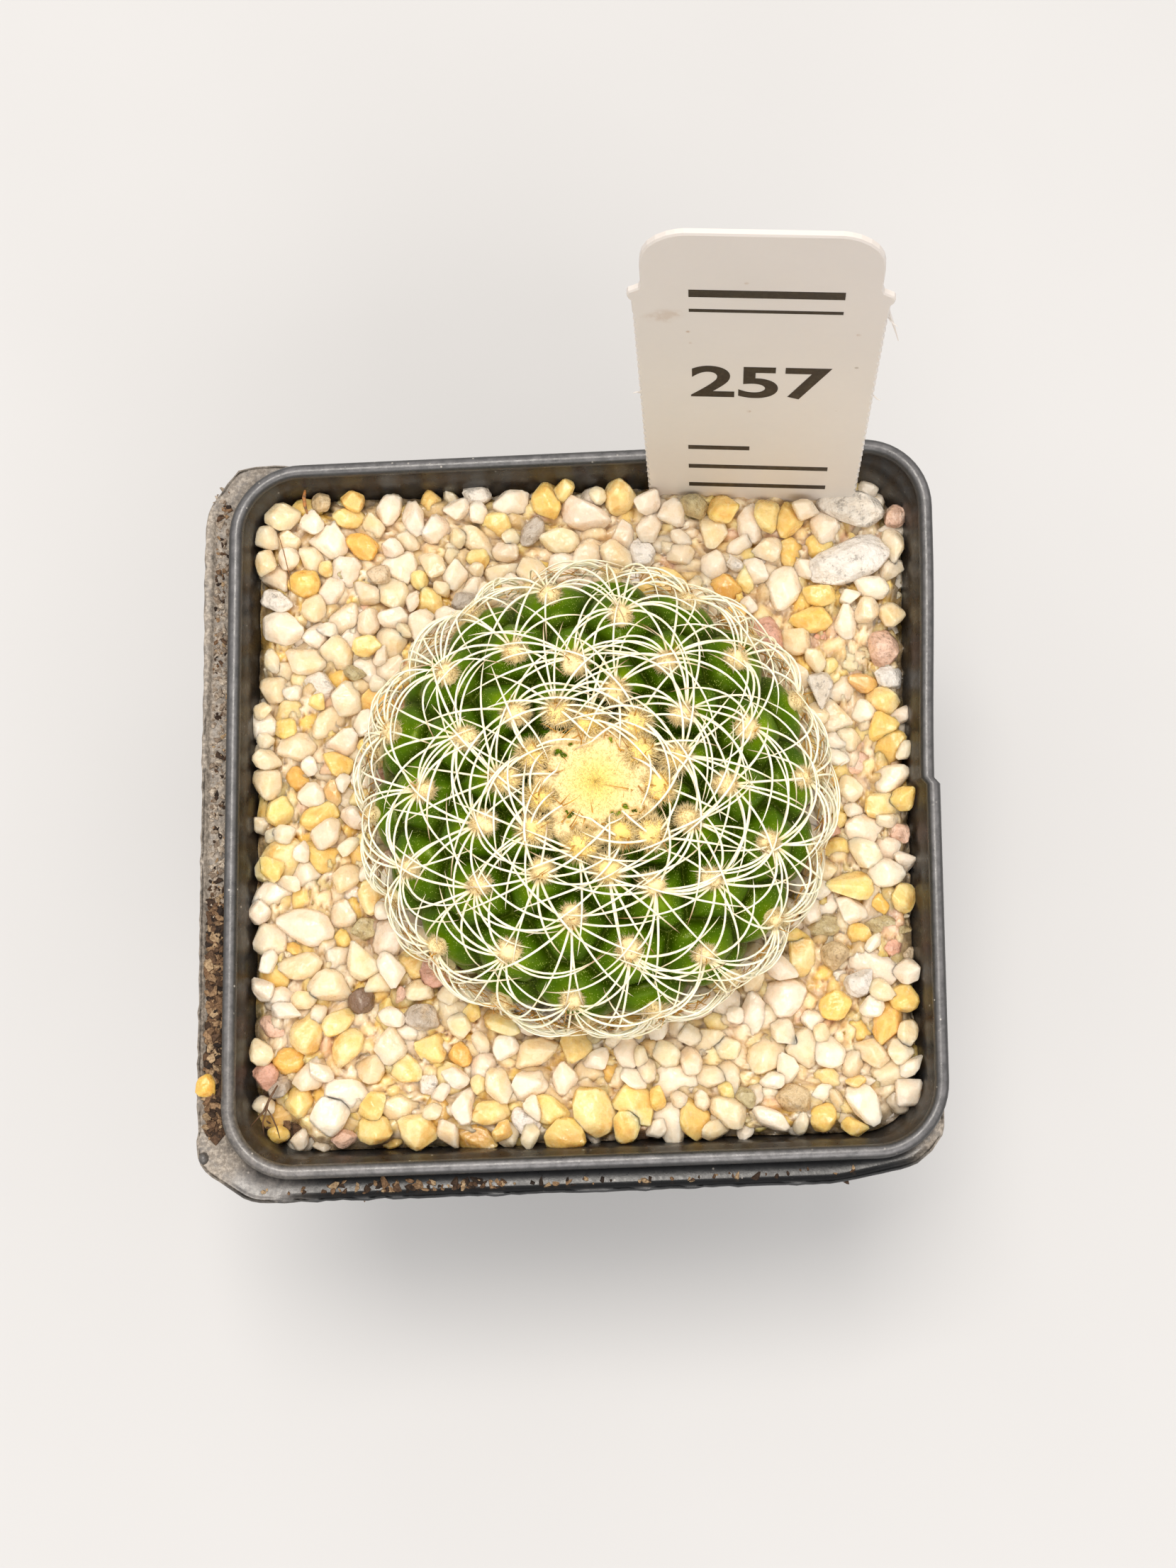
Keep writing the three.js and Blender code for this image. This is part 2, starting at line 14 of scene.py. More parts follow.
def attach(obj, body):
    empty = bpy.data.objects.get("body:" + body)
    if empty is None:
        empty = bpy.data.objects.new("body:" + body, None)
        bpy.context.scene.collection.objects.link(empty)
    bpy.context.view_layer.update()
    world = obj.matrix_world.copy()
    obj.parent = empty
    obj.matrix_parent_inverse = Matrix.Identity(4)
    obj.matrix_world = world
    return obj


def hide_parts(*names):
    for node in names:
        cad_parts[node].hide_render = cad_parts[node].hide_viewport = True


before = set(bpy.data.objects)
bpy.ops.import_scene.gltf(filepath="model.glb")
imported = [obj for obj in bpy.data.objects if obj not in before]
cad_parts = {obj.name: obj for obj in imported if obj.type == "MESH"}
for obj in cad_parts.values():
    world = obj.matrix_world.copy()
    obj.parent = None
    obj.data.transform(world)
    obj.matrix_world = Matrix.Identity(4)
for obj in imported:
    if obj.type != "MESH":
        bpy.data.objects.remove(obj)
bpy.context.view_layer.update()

MM = 0.001

# Camera: where it stands, what it looks at, its roll in degrees, its lens, and how much film lies
# along the longer side of the picture
CAMERA_PLACE = (-0.133, -28.398, 267.410)
CAMERA_AIM = (0.589, 1.994, 62)
CAMERA_ROLL = -0.065
CAMERA_LENS = 48.82
FILM_LENGTH = 36

# Pot, as in the model
POT_HEIGHT = 65
RIM_HALF = 34
BASE_HALF = 26
RIM_CORNER = 6.3
BASE_CORNER = 4.6
WALL = 0.8
FLOOR = 1.2
BEAD_RADIUS = 0.7
WALL_TOP_Z = 63.2
WALL_OUTER_HALF = 33.7
DRAIN_RADIUS = 1.9
DRAIN_PLACE = 15
FLANGE_TOP_Z = 62.7
FLANGE_THICKNESS = 0.9
FLANGE_OUTLINE = [
    (-26, 34.3), (-29.6, 35.4), (-34.2, 35.1), (-37.2, 30.6), (-37.2, -33.3), (-32, -36.9),
    (24, -36.9), (31.7, -35.5), (34.4, -32.8), (34.4, -28.5),
]
LIP_HEIGHT = 0.7
RIM_SKEW = {"front left": (-0.25, -0.6), "front right": (-0.8, 0.1),
            "back right": (0.55, 0.85), "back left": (0.75, -0.7)}
SKEW_START_Z = 20
CRACK_Y = 1.1
CRACK_STEP = 0.55
CORNER_STEPS = 14

# Plant envelope and its areoles, as in the model
PLANT_X = 1.25
PLANT_RADIUS = 21
EQUATOR_Z = 67
CROWN_HEIGHT = 9.3
CROWN_POWER = 2.3
UNDER_DEPTH = 14
UNDER_POWER = 2.2
NECK_Z = 55
BODY_FOOT_Z = 58.4
VALLEY_DEPTH = 1.9
VALLEY_POWER = 1.7
ROOT = [(14, 57), (9.5, 53), (3, 47), (1.4, 30)]
FIRST_ANGLE = 34
TURN = -99.8
AREOLE_COUNT = 66
# How far down from the crown areole n sits: a smooth rise about a middle one, then even steps
MIDDLE_AREOLE = 30
MIDDLE_ARC = 15.7
ARC_RISE = 13.4
RISE_SPREAD = 28.4
FIRST_EVEN = 50
EVEN_STEP = 0.33
BODY_COLUMNS = 440

# Spines, and the fine old tips at the foot of the plant
SPINE_LENGTH = 8.5
SPINE_RADIUS = (0.105, 0.13)
SPINE_STEPS = 13
SPINE_SIDES = 6
SPINE_FLOOR_Z = 62.35
SPINE_AXIS_GAP = 1.2                    # nearer to the axis, a spine turns as if it were this far off
SPINE_FAN = (9, 29, 50, 71, 92, 114)    # degrees from down the flank, to each side
BRISTLE_STEPS = 5
BRISTLE_SIDES = 4
BRISTLE_RADIUS = 0.055
YOUNG_BRISTLE_RADIUS = 0.075
OLD_TIPS = 420
OLD_TIP_HEIGHTS = (62.6, 69.5)
OLD_TIP_STEPS = 8
OLD_TIP_FLOOR_Z = 62.2

# Wool: the cushions at the areoles, and the felt over the growing point
PAD_RADIUS = 1.42
PAD_HALF_HEIGHT = 0.86
PAD_HAIRS = 400
YOUNG_PAD_HAIRS = 600
FELT_HEIGHT = 0.52
FELT_RIM = 5.15
FELT_REACH = 6.3
FELT_DEPTH = 1.3
FELT_COLUMNS = 300
FELT_RINGS = 60
FELT_HAIRS = 9500
FELT_HAIR_RADIUS = 0.027
FELT_GAPS = 22
YOUNGEST = -14                          # areoles that still hide in the felt have numbers under 0

# Grit
SOIL_TOP_Z = 57
BED_TOP_Z = 60.15
BED_STONES = 2300
BED_INNER_RADIUS = 17.6
BED_COLUMNS = 430
BED_ROWS = 66
STONE_TOP_Z = 61.9
CELL = 0.3
PLANT_HOLE_RADIUS = 19.9
LABEL_SLOT_HALF = 10.9
CORNER_SINK = 2
CORNER_SINK_REACH = 13
FRONT_SINK = 1.2
FRONT_SINK_REACH = 8.5
BARE_REACH = 8.2
STONE_SIZE = 2.9
STONE_SIZE_SPREAD = 0.2
STONE_SIZE_LIMITS = (2.1, 4.4)
STONE_SWELL = 1.2                       # the packing leaves a little room between stones
STONE_TILT = 0.5                        # typical tilt, in radians
STONE_SHAPES = 90
DROP_TRIES = 12
LOWER_LAYER = 2.1                       # how far the lower stones stay under the top ones
LOWER_DROPS = 2500
UPPER_DROPS = 6500
# Small stones that fill the holes: how many are tried, their sizes, and the ring they fall in
FILLERS = [(2600, (2.0, 2.7), None), (700, (1.4, 2.0), None), (1200, (1.4, 2.5), (20.4, 24.5))]

# Label, as in the model, but leaning back as far as the photograph shows
LABEL_BASE = (17.7, 31.05, 60.8)
LABEL_LEAN_BACK = 7.5
LABEL_LEAN_LEFT = 3
LABEL_YAW = -4.5
LABEL_THICKNESS = 0.6
LABEL_EDGE = 0.09
LABEL_BURIED = 47
LABEL_EXPOSED = 50.5
LABEL_HALF = 10.25
TOOTH_PITCH = 0.62
TOOTH_DEPTH = 0.2
TEETH_HEIGHT = 39.5
# Its smudges: place across and up, size and strength
LABEL_SMUDGES = [
    (-7.9, 37.3, 1.5, 0.36), (-9.1, 36.9, 1.1, 0.26), (-6.8, 37.7, 0.9, 0.22), (8.4, 34.6, 0.3, 0.8),
    (-1.2, 43, 0.3, 0.7), (-6, 34.6, 0.26, 0.7), (-5.8, 32.6, 0.22, 0.7), (-0.6, 19.6, 0.3, 0.8),
]
# Threads of plastic torn from its sides: places across, up and in front of it, and thickness
LABEL_BURRS = [
    ([(10.55, 38.6, 0), (10.9, 37.3, 0.1), (11.3, 35.9, 0.25), (11.75, 34.2, 0.5)], 0.13),
    ([(10.5, 37.6, 0), (10.9, 37.0, 0.2), (11.2, 36.8, 0.4), (11.5, 36.9, 0.6)], 0.08),
    ([(10.5, 22.8, 0), (10.8, 22.4, 0.1), (11.0, 22.2, 0.1), (11.2, 22.3, 0.2)], 0.08),
    ([(-10.4, 22.2, 0), (-10.7, 22.6, 0.1), (-10.9, 22.7, 0.2), (-11.1, 22.5, 0.2)], 0.08),
]
# Ruled lines: left and right ends, low edge and width
LABEL_LINES = [(-5.9, 6.9, 40.6, 1.2), (-5.9, 6.9, 38.1, 0.5), (-6.2, -0.4, 11.2, 0.85),
               (-6.2, 7.2, 6.9, 0.85), (-6.2, 7.2, 2.6, 0.85)]
NUMBER = "257"
NUMBER_PLACE = (0.2, 22.6)
NUMBER_SIZE = 8.2
NUMBER_THICKENING = 0.17

# Light: place and size in metres, watts and colour
ROOM_COLOUR = (1.0, 0.97, 0.93, 1)
ROOM_STRENGTH = 0.84
LIGHTS = {
    "key": ((-0.05, 0.15, 0.76), (0.26, 0.2), 3.5, (1.0, 0.94, 0.86)),
    "fill": ((0.1, -0.45, 0.6), (0.5, 0.3), 1.5, (1.0, 0.97, 0.94)),
}
LIT_POINT = (0, 0, 0.06)


# Materials

def srgb(*levels):
    """A colour as seen on a screen, from 0 to 255, as the linear values that shaders use."""
    return tuple(((c / 255 + 0.055) / 1.055) ** 2.4 if c > 10 else c / 3294 for c in levels)


class Finish:
    """A material written as a chain of nodes that end in one Principled shader."""

    def __init__(self, name):
        self.material = bpy.data.materials.new(name)
        self.material.use_nodes = True
        self.tree = self.material.node_tree
        self.shader = self.tree.nodes["Principled BSDF"]
        self.place = self.tree.nodes.new("ShaderNodeTexCoord").outputs["Object"]

    def node(self, kind, inputs=None, **settings):
        made = self.tree.nodes.new(kind)
        for key, value in settings.items():
            setattr(made, key, value)
        for key, value in (inputs or {}).items():
            self.feed(made.inputs[key], value)
        return made

    def feed(self, socket, value):
        if isinstance(value, bpy.types.NodeSocket):
            self.tree.links.new(value, socket)
        elif socket.type == "RGBA":
            socket.default_value = (*value, 1) if len(value) == 3 else value
        else:
            socket.default_value = value

    def set(self, name, value):
        self.feed(self.shader.inputs[name], value)

    def noise(self, scale, detail=3.0, roughness=0.55, place=None):
        """Cloudy noise around 0.5, with so many waves per metre."""
        made = self.node("ShaderNodeTexNoise", {
            "Vector": place or self.place, "Scale": scale, "Detail": detail, "Roughness": roughness})
        return made.outputs["Fac"]

    def stretched(self, scales, detail, roughness):
        """Noise with waves of another length along each axis."""
        place = self.node("ShaderNodeMapping", {"Vector": self.place, "Scale": scales}).outputs[0]
        return self.noise(1, detail, roughness, place)

    def cells(self, scale):
        """The distance to the nearest of scattered points."""
        return self.node("ShaderNodeTexVoronoi", {"Vector": self.place, "Scale": scale}).outputs["Distance"]

    def number(self, name):
        return self.node("ShaderNodeAttribute", attribute_name=name).outputs["Fac"]

    def colour(self, name):
        return self.node("ShaderNodeAttribute", attribute_name=name).outputs["Color"]

    def height(self):
        """The height over the ground, in metres."""
        return self.node("ShaderNodeSeparateXYZ", {0: self.place}).outputs["Z"]

    def facing_up(self):
        normal = self.node("ShaderNodeNewGeometry").outputs["Normal"]
        return self.node("ShaderNodeSeparateXYZ", {0: normal}).outputs["Z"]

    def remap(self, value, low, high, to_low=0.0, to_high=1.0):
        return self.node("ShaderNodeMapRange", {
            0: value, 1: low, 2: high, 3: to_low, 4: to_high}, interpolation_type="SMOOTHSTEP").outputs[0]

    def patches(self, scale, detail, roughness, low, high, to_low=0.0, to_high=1.0):
        """Noise spread between two values: the first where it is low, the second where it is high."""
        return self.remap(self.noise(scale, detail, roughness), low, high, to_low, to_high)

    def dots(self, scale, low, high):
        """1 in round dots and 0 between them."""
        return self.remap(self.cells(scale), low, high, 1.0, 0.0)

    def maths(self, operation, a, b):
        return self.node("ShaderNodeMath", {0: a, 1: b}, operation=operation).outputs[0]

    def times(self, a, b):
        return self.maths("MULTIPLY", a, b)

    def mix(self, share, a, b, blend="MIX"):
        made = self.node("ShaderNodeMix", data_type="RGBA", blend_type=blend)
        self.feed(made.inputs["Factor"], share)
        self.feed(made.inputs[6], a)
        self.feed(made.inputs[7], b)
        return made.outputs[2]

    def bump(self, height, distance_mm, strength=1.0, normal=None):
        inputs = {"Height": height, "Distance": distance_mm * MM, "Strength": strength}
        if normal is not None:
            inputs["Normal"] = normal
        return self.node("ShaderNodeBump", inputs).outputs[0]

    def light_inside(self, weight, radius, depth_mm):
        """Lets light run so deep into the material, red, green and blue each by its share."""
        self.set("Subsurface Weight", weight)
        self.set("Subsurface Radius", radius)
        self.set("Subsurface Scale", depth_mm * MM)

    def surface(self, colour, roughness, normal=None):
        """Ends the chain and gives the material."""
        self.set("Base Color", colour)
        self.set("Roughness", roughness)
        if normal is not None:
            self.set("Normal", normal)
        return self.material


def plastic_finish():
    """Charcoal nursery-pot plastic: satin, lighter grey on what faces up near the rim (partly scuffs, partly
    a painted highlight), dusty on the cut flange, and streaked dark brown on the inner wall (partly stain,
    partly painted shade).
    """
    m = Finish("pot_plastic")
    cloud = m.noise(220, 5)
    fine = m.noise(2600, 4, 0.7)
    base = m.mix(cloud, srgb(34, 35, 37), srgb(48, 49, 51))
    high = m.remap(m.height(), 61 * MM, 62 * MM)
    # Painted highlight, partly real scuffs: the up-facing tops near the rim, the bead most of all, take a
    # lighter grey
    worn = m.times(m.number("worn"), m.times(m.remap(m.facing_up(), 0.7, 1.0), high))
    scuff_and_highlight = m.times(m.patches(1100, 5, 0.6, 0.3, 0.75, 0.3, 0.8), worn)
    base = m.mix(scuff_and_highlight, base, srgb(116, 115, 118))
    flecks = m.times(m.dots(900, 0.06, 0.12), m.remap(cloud, 0.5, 0.6))
    base = m.mix(m.times(flecks, m.times(high, 0.7)), base, srgb(190, 184, 176))
    dust = m.times(m.number("dust"), m.patches(1100, 5, 0.7, 0.25, 0.6, 0.35, 1.0))
    base = m.mix(dust, base, m.mix(m.remap(fine, 0.4, 0.65), srgb(134, 124, 113), srgb(182, 171, 158)))
    # Painted shade, partly real stain: the whole inner wall is darkened to brown-black in streaks
    streaks = m.stretched((900, 900, 60), 5, 0.65)
    stain = m.times(m.number("stain"), m.remap(streaks, 0.38, 0.62))
    base = m.mix(m.times(stain, 0.8), base, srgb(42, 32, 23))
    satin = m.patches(1500, 4, 0.7, 0.3, 0.75, 0.26, 0.44)
    return m.surface(base, m.maths("MAXIMUM", satin, m.times(dust, 0.85)), m.bump(fine, 0.03, 0.6))


def soil_finish():
    m = Finish("compost_finish")
    grain = m.noise(1500, 6, 0.7)
    base = m.mix(m.remap(grain, 0.35, 0.7), srgb(26, 17, 11), srgb(84, 62, 42))
    base = m.mix(m.dots(1800, 0.0, 0.25), base, srgb(120, 98, 74))
    return m.surface(base, 0.95, m.bump(grain, 0.5))


def quartz_finish(name, clouding, speckle, depth_mm, rust, spot=(92, 66, 46), grain=2100):
    """Grit: the stone's own colour with clouds, veins and rusty patches; light runs so deep into it."""
    m = Finish(name)
    clear = depth_mm > 1
    own = m.colour("stone_colour")
    base = m.mix(m.patches(620, 4, 0.6, 0.35, 0.7), own, m.mix(1.0, own, clouding, "MULTIPLY"))
    vein = m.stretched((1900, 900, 1500), 5, 0.65)
    base = m.mix(m.remap(vein, 0.55, 0.75, 0.0, 0.35), base, srgb(246, 236, 220))
    base = m.mix(m.patches(360, 3, 0.6, 0.5, 0.68, 0.0, rust), base, srgb(224, 176, 90))
    base = m.mix(m.times(m.patches(grain, 7, 0.8, 0.53, 0.64), speckle), base, srgb(*spot))
    m.set("IOR", 1.54)
    m.light_inside(1.0 if clear else 0.3, (0.7, 0.76, 0.84), depth_mm)
    lumps = m.bump(m.noise(850, 2, 0.5), 0.4, 0.8)
    normal = m.bump(m.noise(2100, 5, 0.6), 0.09 if clear else 0.4, 0.7, lumps)
    return m.surface(base, m.patches(1600, 3, 0.55, 0.3, 0.7, 0.14, 0.42), normal)


def skin_finish():
    """Glossy green skin, lighter on the tubercles and darkening into the valleys as painted shade, with fine
    pale specks.
    """
    m = Finish("skin_finish")
    valley = m.number("valley")
    cloud = m.noise(260, 4)
    ridge = m.mix(m.remap(cloud, 0.35, 0.7), srgb(98, 132, 0), srgb(124, 152, 8))
    flank = m.mix(m.remap(cloud, 0.3, 0.7), srgb(54, 86, 0), srgb(72, 104, 2))
    # Painted shade: the green darkens from the tubercles down the flanks and is darkest on the valley lines
    base = m.mix(m.remap(valley, 0.05, 0.55), ridge, flank)
    base = m.mix(m.remap(valley, 0.55, 0.98), base, srgb(38, 54, 0))
    specks = m.times(m.dots(5200, 0.16, 0.3), m.patches(1400, 2, 0.55, 0.4, 0.6))
    base = m.mix(m.times(specks, 0.75), base, srgb(176, 190, 96))
    m.set("Specular IOR Level", 0.3)
    m.set("Specular Tint", (0.85, 1.0, 0.1))
    m.set("Coat Weight", 0.06)
    m.set("Coat Roughness", 0.12)
    m.light_inside(0.12, (0.5, 0.8, 0.1), 0.8)
    rough = m.patches(900, 4, 0.65, 0.3, 0.7, 0.26, 0.46)
    return m.surface(base, rough, m.bump(m.noise(2400, 4, 0.6), 0.05, 0.7))


def spine_finish():
    """Ivory spines, a little yellower at the root, browned along the last stretch of some."""
    m = Finish("spine_finish")
    along = m.number("along")
    base = m.mix(m.patches(1800, 3, 0.55, 0.3, 0.7), srgb(255, 250, 228), srgb(253, 240, 204))
    base = m.mix(m.remap(along, 0.0, 0.15, 0.45, 0.0), base, srgb(240, 214, 150))
    base = m.mix(m.times(m.remap(along, 0.55, 1.0), m.number("tint")), base, srgb(140, 92, 48))
    m.light_inside(0.25, (1.0, 0.8, 0.5), 0.25)
    rough = m.patches(4000, 2, 0.55, 0.3, 0.7, 0.38, 0.55)
    return m.surface(base, rough, m.bump(m.noise(5000, 3), 0.015, 0.5))


def wool_finish():
    """Felted wool, pale straw where it is old and yellow where it is young."""
    m = Finish("wool_finish")
    cloud = m.noise(1300, 4, 0.7)
    old = m.mix(cloud, srgb(249, 224, 168), srgb(253, 234, 188))
    young = m.mix(cloud, srgb(246, 214, 102), srgb(252, 228, 138))
    m.light_inside(0.1, (1.0, 0.9, 0.7), 0.5)
    rough = m.remap(cloud, 0.3, 0.7, 0.8, 1.0)
    return m.surface(m.mix(m.number("warm"), old, young), rough, m.bump(m.noise(6000, 4, 0.75), 0.06, 0.8))


def bristle_finish():
    """Amber bristles with browner stretches."""
    m = Finish("bristle_finish")
    base = m.mix(m.number("tint"), srgb(168, 110, 30), srgb(226, 168, 56))
    return m.surface(m.mix(m.patches(2500, 3, 0.55, 0.35, 0.7), base, srgb(176, 128, 62)), 0.5)


def scrap_finish():
    """Dry plant scraps, from dark root brown to the tan of a splinter."""
    m = Finish("scrap_finish")
    base = m.mix(m.number("tint"), srgb(66, 48, 34), srgb(186, 122, 62))
    return m.surface(m.mix(m.patches(2500, 4, 0.55, 0.35, 0.7), base, srgb(104, 80, 58)), 0.75)


def crumb_finish():
    """Compost and dust crumbs, each of its own colour with darker grain."""
    m = Finish("crumb_finish")
    own = m.colour("stone_colour")
    grain = m.noise(4200, 5, 0.7)
    dark = m.mix(1.0, own, (0.45, 0.4, 0.36), "MULTIPLY")
    return m.surface(m.mix(m.remap(grain, 0.35, 0.65), own, dark), 0.95, m.bump(grain, 0.08))


def label_finish():
    """Pale label plastic with a faint grain, painted shade darkening it towards the top, and a few smudges
    of compost.
    """
    m = Finish("label_finish")
    cloud = m.noise(90, 4)
    # Painted shade: a lower tone and a darker, greyer upper tone, blended from 75 mm to 108 mm high
    low = m.mix(cloud, srgb(215, 208, 200), srgb(222, 215, 207))
    high = m.mix(cloud, srgb(207, 200, 195), srgb(214, 207, 202))
    base = m.mix(m.remap(m.height(), 75 * MM, 108 * MM), low, high)
    specks = m.times(m.dots(420, 0.05, 0.1), m.patches(170, 2, 0.55, 0.6, 0.66))
    base = m.mix(m.times(specks, 0.5), base, srgb(140, 118, 96))
    for across, along, size, strength in LABEL_SMUDGES:
        place = on_label(np.array([across, along, LABEL_THICKNESS / 2])) * MM
        away = m.node("ShaderNodeVectorMath", {0: m.place, 1: tuple(place)}, operation="DISTANCE")
        spot = m.remap(away.outputs["Value"], 0.3 * size * MM, size * MM, strength, 0.0)
        base = m.mix(m.times(spot, m.patches(900, 4, 0.7, 0.4, 0.6, 0.2, 1.0)), base, srgb(176, 146, 122))
    m.light_inside(0.15, (1.0, 0.9, 0.8), 0.5)
    rough = m.patches(1200, 3, 0.55, 0.3, 0.7, 0.38, 0.5)
    return m.surface(base, rough, m.bump(m.noise(3000, 3), 0.01, 0.4))


def ink_finish():
    """Dark print, a little thin in places."""
    m = Finish("ink_finish")
    worn = m.noise(1400, 5, 0.7)
    base = m.mix(m.remap(worn, 0.55, 0.8), srgb(38, 27, 18), srgb(74, 60, 46))
    return m.surface(base, m.remap(worn, 0.3, 0.7, 0.45, 0.65))


# Mesh helpers

class Bodies:
    """Closed bodies in millimetres, with numbers at their points, gathered into one piece."""

    def __init__(self):
        self.points = []
        self.faces = []
        self.normals = []
        self.values = {}
        self.count = 0

    def add(self, points, faces, normals=None, **values):
        """faces is a list of arrays with a row for each face; a value is a number or a colour.

        normals, if given for one body of a piece, are given for all of them.
        """
        points = np.asarray(points, float).reshape(-1, 3)
        self.points.append(points)
        if normals is not None:
            self.normals.append(normals)
        for rows in faces:
            self.faces.append(np.asarray(rows, int) + self.count)
        for name, numbers in values.items():
            numbers = np.asarray(numbers, float)
            if numbers.ndim == 0 or (numbers.ndim == 1 and len(numbers) != len(points)):
                numbers = np.broadcast_to(numbers, (len(points), *numbers.shape))
            self.values.setdefault(name, []).append(numbers)
        self.count += len(points)

    def piece(self, name, material, slot, replaces=(), smooth=True):
        mesh = bpy.data.meshes.new(name)
        points = np.concatenate(self.points) * MM
        corners = np.concatenate([rows.ravel() for rows in self.faces])
        sizes = np.concatenate([np.full(len(rows), rows.shape[1]) for rows in self.faces])
        mesh.vertices.add(len(points))
        mesh.vertices.foreach_set("co", points.ravel())
        mesh.loops.add(len(corners))
        mesh.loops.foreach_set("vertex_index", corners)
        mesh.polygons.add(len(sizes))
        mesh.polygons.foreach_set("loop_start", np.cumsum(sizes) - sizes)
        mesh.polygons.foreach_set("use_smooth", np.full(len(sizes), smooth))
        for key, rows in self.values.items():
            rows = np.concatenate(rows)
            if rows.ndim == 1:
                mesh.attributes.new(key, "FLOAT", "POINT").data.foreach_set("value", rows)
            else:
                colours = np.column_stack([rows, np.ones(len(rows))])
                mesh.attributes.new(key, "FLOAT_COLOR", "POINT").data.foreach_set("color", colours.ravel())
        mesh.update(calc_edges=True)
        mesh.validate()
        if self.normals:
            mesh.normals_split_custom_set_from_vertices(np.concatenate(self.normals))
        mesh.materials.append(material)
        return settle(put(name, mesh), replaces)


def put(name, data):
    """A new object in the scene."""
    made = bpy.data.objects.new(name, data)
    bpy.context.scene.collection.objects.link(made)
    return made


def settle(piece, replaces=()):
    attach(piece, "root")
    if replaces:
        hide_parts(*replaces)
    return piece


def grid_faces(rings, columns, wrap=False):
    """Quads between closed rings of points, and between the last ring and the first if they wrap."""
    faces = []
    j = np.arange(columns)
    k = (j + 1) % columns
    for i in range(rings if wrap else rings - 1):
        a = i * columns
        b = (i + 1) % rings * columns
        faces.append(np.column_stack([a + j, a + k, b + k, b + j]))
    return np.concatenate(faces)


def circle(count):
    """So many even angles round a circle."""
    return np.linspace(0, math.tau, count, endpoint=False)


def unit(vectors):
    """The same directions, with length 1."""
    return vectors / np.linalg.norm(vectors, axis=-1, keepdims=True)


def tubes(paths, radii, sides):
    """Tapered closed tubes along paths, an array of tube, step and place."""
    paths = np.asarray(paths, float)
    count, steps, _ = paths.shape
    along = unit(np.gradient(paths, axis=1))
    chord = paths[:, -1] - paths[:, 0]
    helper = np.where(np.abs(chord[:, 2:3]) < 0.8 * np.linalg.norm(chord, axis=1, keepdims=True),
                      [[0, 0, 1.0]], [[1.0, 0, 0]])
    chord = unit(chord)
    helper = helper - chord * np.sum(helper * chord, axis=1, keepdims=True)
    side = unit(np.cross(along, helper[:, None, :]))
    up = np.cross(along, side)
    angle = circle(sides)
    around = (side[:, :, None, :] * np.cos(angle)[None, None, :, None]
              + up[:, :, None, :] * np.sin(angle)[None, None, :, None])
    points = paths[:, :, None, :] + around * np.asarray(radii)[:, :, None, None]
    quads = grid_faces(steps, sides)
    start = np.arange(sides)[::-1][None, :]
    end = ((steps - 1) * sides + np.arange(sides))[None, :]
    shift = (np.arange(count) * steps * sides)[:, None, None]
    faces = [(rows[None] + shift).reshape(-1, rows.shape[1]) for rows in (quads, start, end)]
    return points.reshape(-1, 3), faces


def strands_piece(name, material, paths, radii, tints, sides, replaces=(), **values):
    """One piece of tapered tubes, each with its own tint."""
    points, faces = tubes(paths, radii, sides)
    bodies = Bodies()
    bodies.add(points, faces, tint=np.repeat(tints, len(paths[0]) * sides), **values)
    return bodies.piece(name, material, "spine", replaces)


def ball(subdivisions):
    """The unit sphere's points and triangles."""
    shape = bmesh.new()
    bmesh.ops.create_icosphere(shape, subdivisions=subdivisions, radius=1)
    points = np.array([v.co[:] for v in shape.verts])
    faces = np.array([[v.index for v in f.verts] for f in shape.faces])
    shape.free()
    return points, faces


def smoothstep(value, low, high):
    t = np.clip((value - low) / (high - low), 0, 1)
    return t * t * (3 - 2 * t)


def nearest_of(places, points):
    """0 at the nearest of some places and 1 halfway to the next, and which one is nearest."""
    first = np.full(len(points), 1e9)
    second = first.copy()
    nearest = np.zeros(len(points), int)
    for number, place in enumerate(places):
        away = np.linalg.norm(points - place, axis=1)
        closer = away < first
        second = np.where(closer, first, np.minimum(second, away))
        first = np.where(closer, away, first)
        nearest = np.where(closer, number, nearest)
    return first / second, nearest


def rim_shift(x, y, axis):
    """How far the rim has moved along X or Y at a place."""
    u = np.clip(0.5 + x / (2 * RIM_HALF), 0, 1)
    v = np.clip(0.5 + y / (2 * RIM_HALF), 0, 1)
    return ((1 - u) * (1 - v) * RIM_SKEW["front left"][axis] + u * (1 - v) * RIM_SKEW["front right"][axis]
            + u * v * RIM_SKEW["back right"][axis] + (1 - u) * v * RIM_SKEW["back left"][axis])


def skewed(points):
    """Moves points near the rim by the skew of its corners."""
    points = np.array(points, float)
    x, y, z = points[..., 0], points[..., 1], points[..., 2]
    lift = np.clip((z - SKEW_START_Z) / (POT_HEIGHT - SKEW_START_Z), 0, 1)
    moves = [lift * rim_shift(x, y, axis) for axis in (0, 1)]
    points[..., 0] += moves[0]
    points[..., 1] += moves[1]
    return points


# Pot

def outer_half(z):
    return BASE_HALF + (WALL_OUTER_HALF - BASE_HALF) * min(max(z / WALL_TOP_Z, 0), 1)


def corner_at(z):
    return BASE_CORNER + (RIM_CORNER - BASE_CORNER) * min(max(z / WALL_TOP_Z, 0), 1)


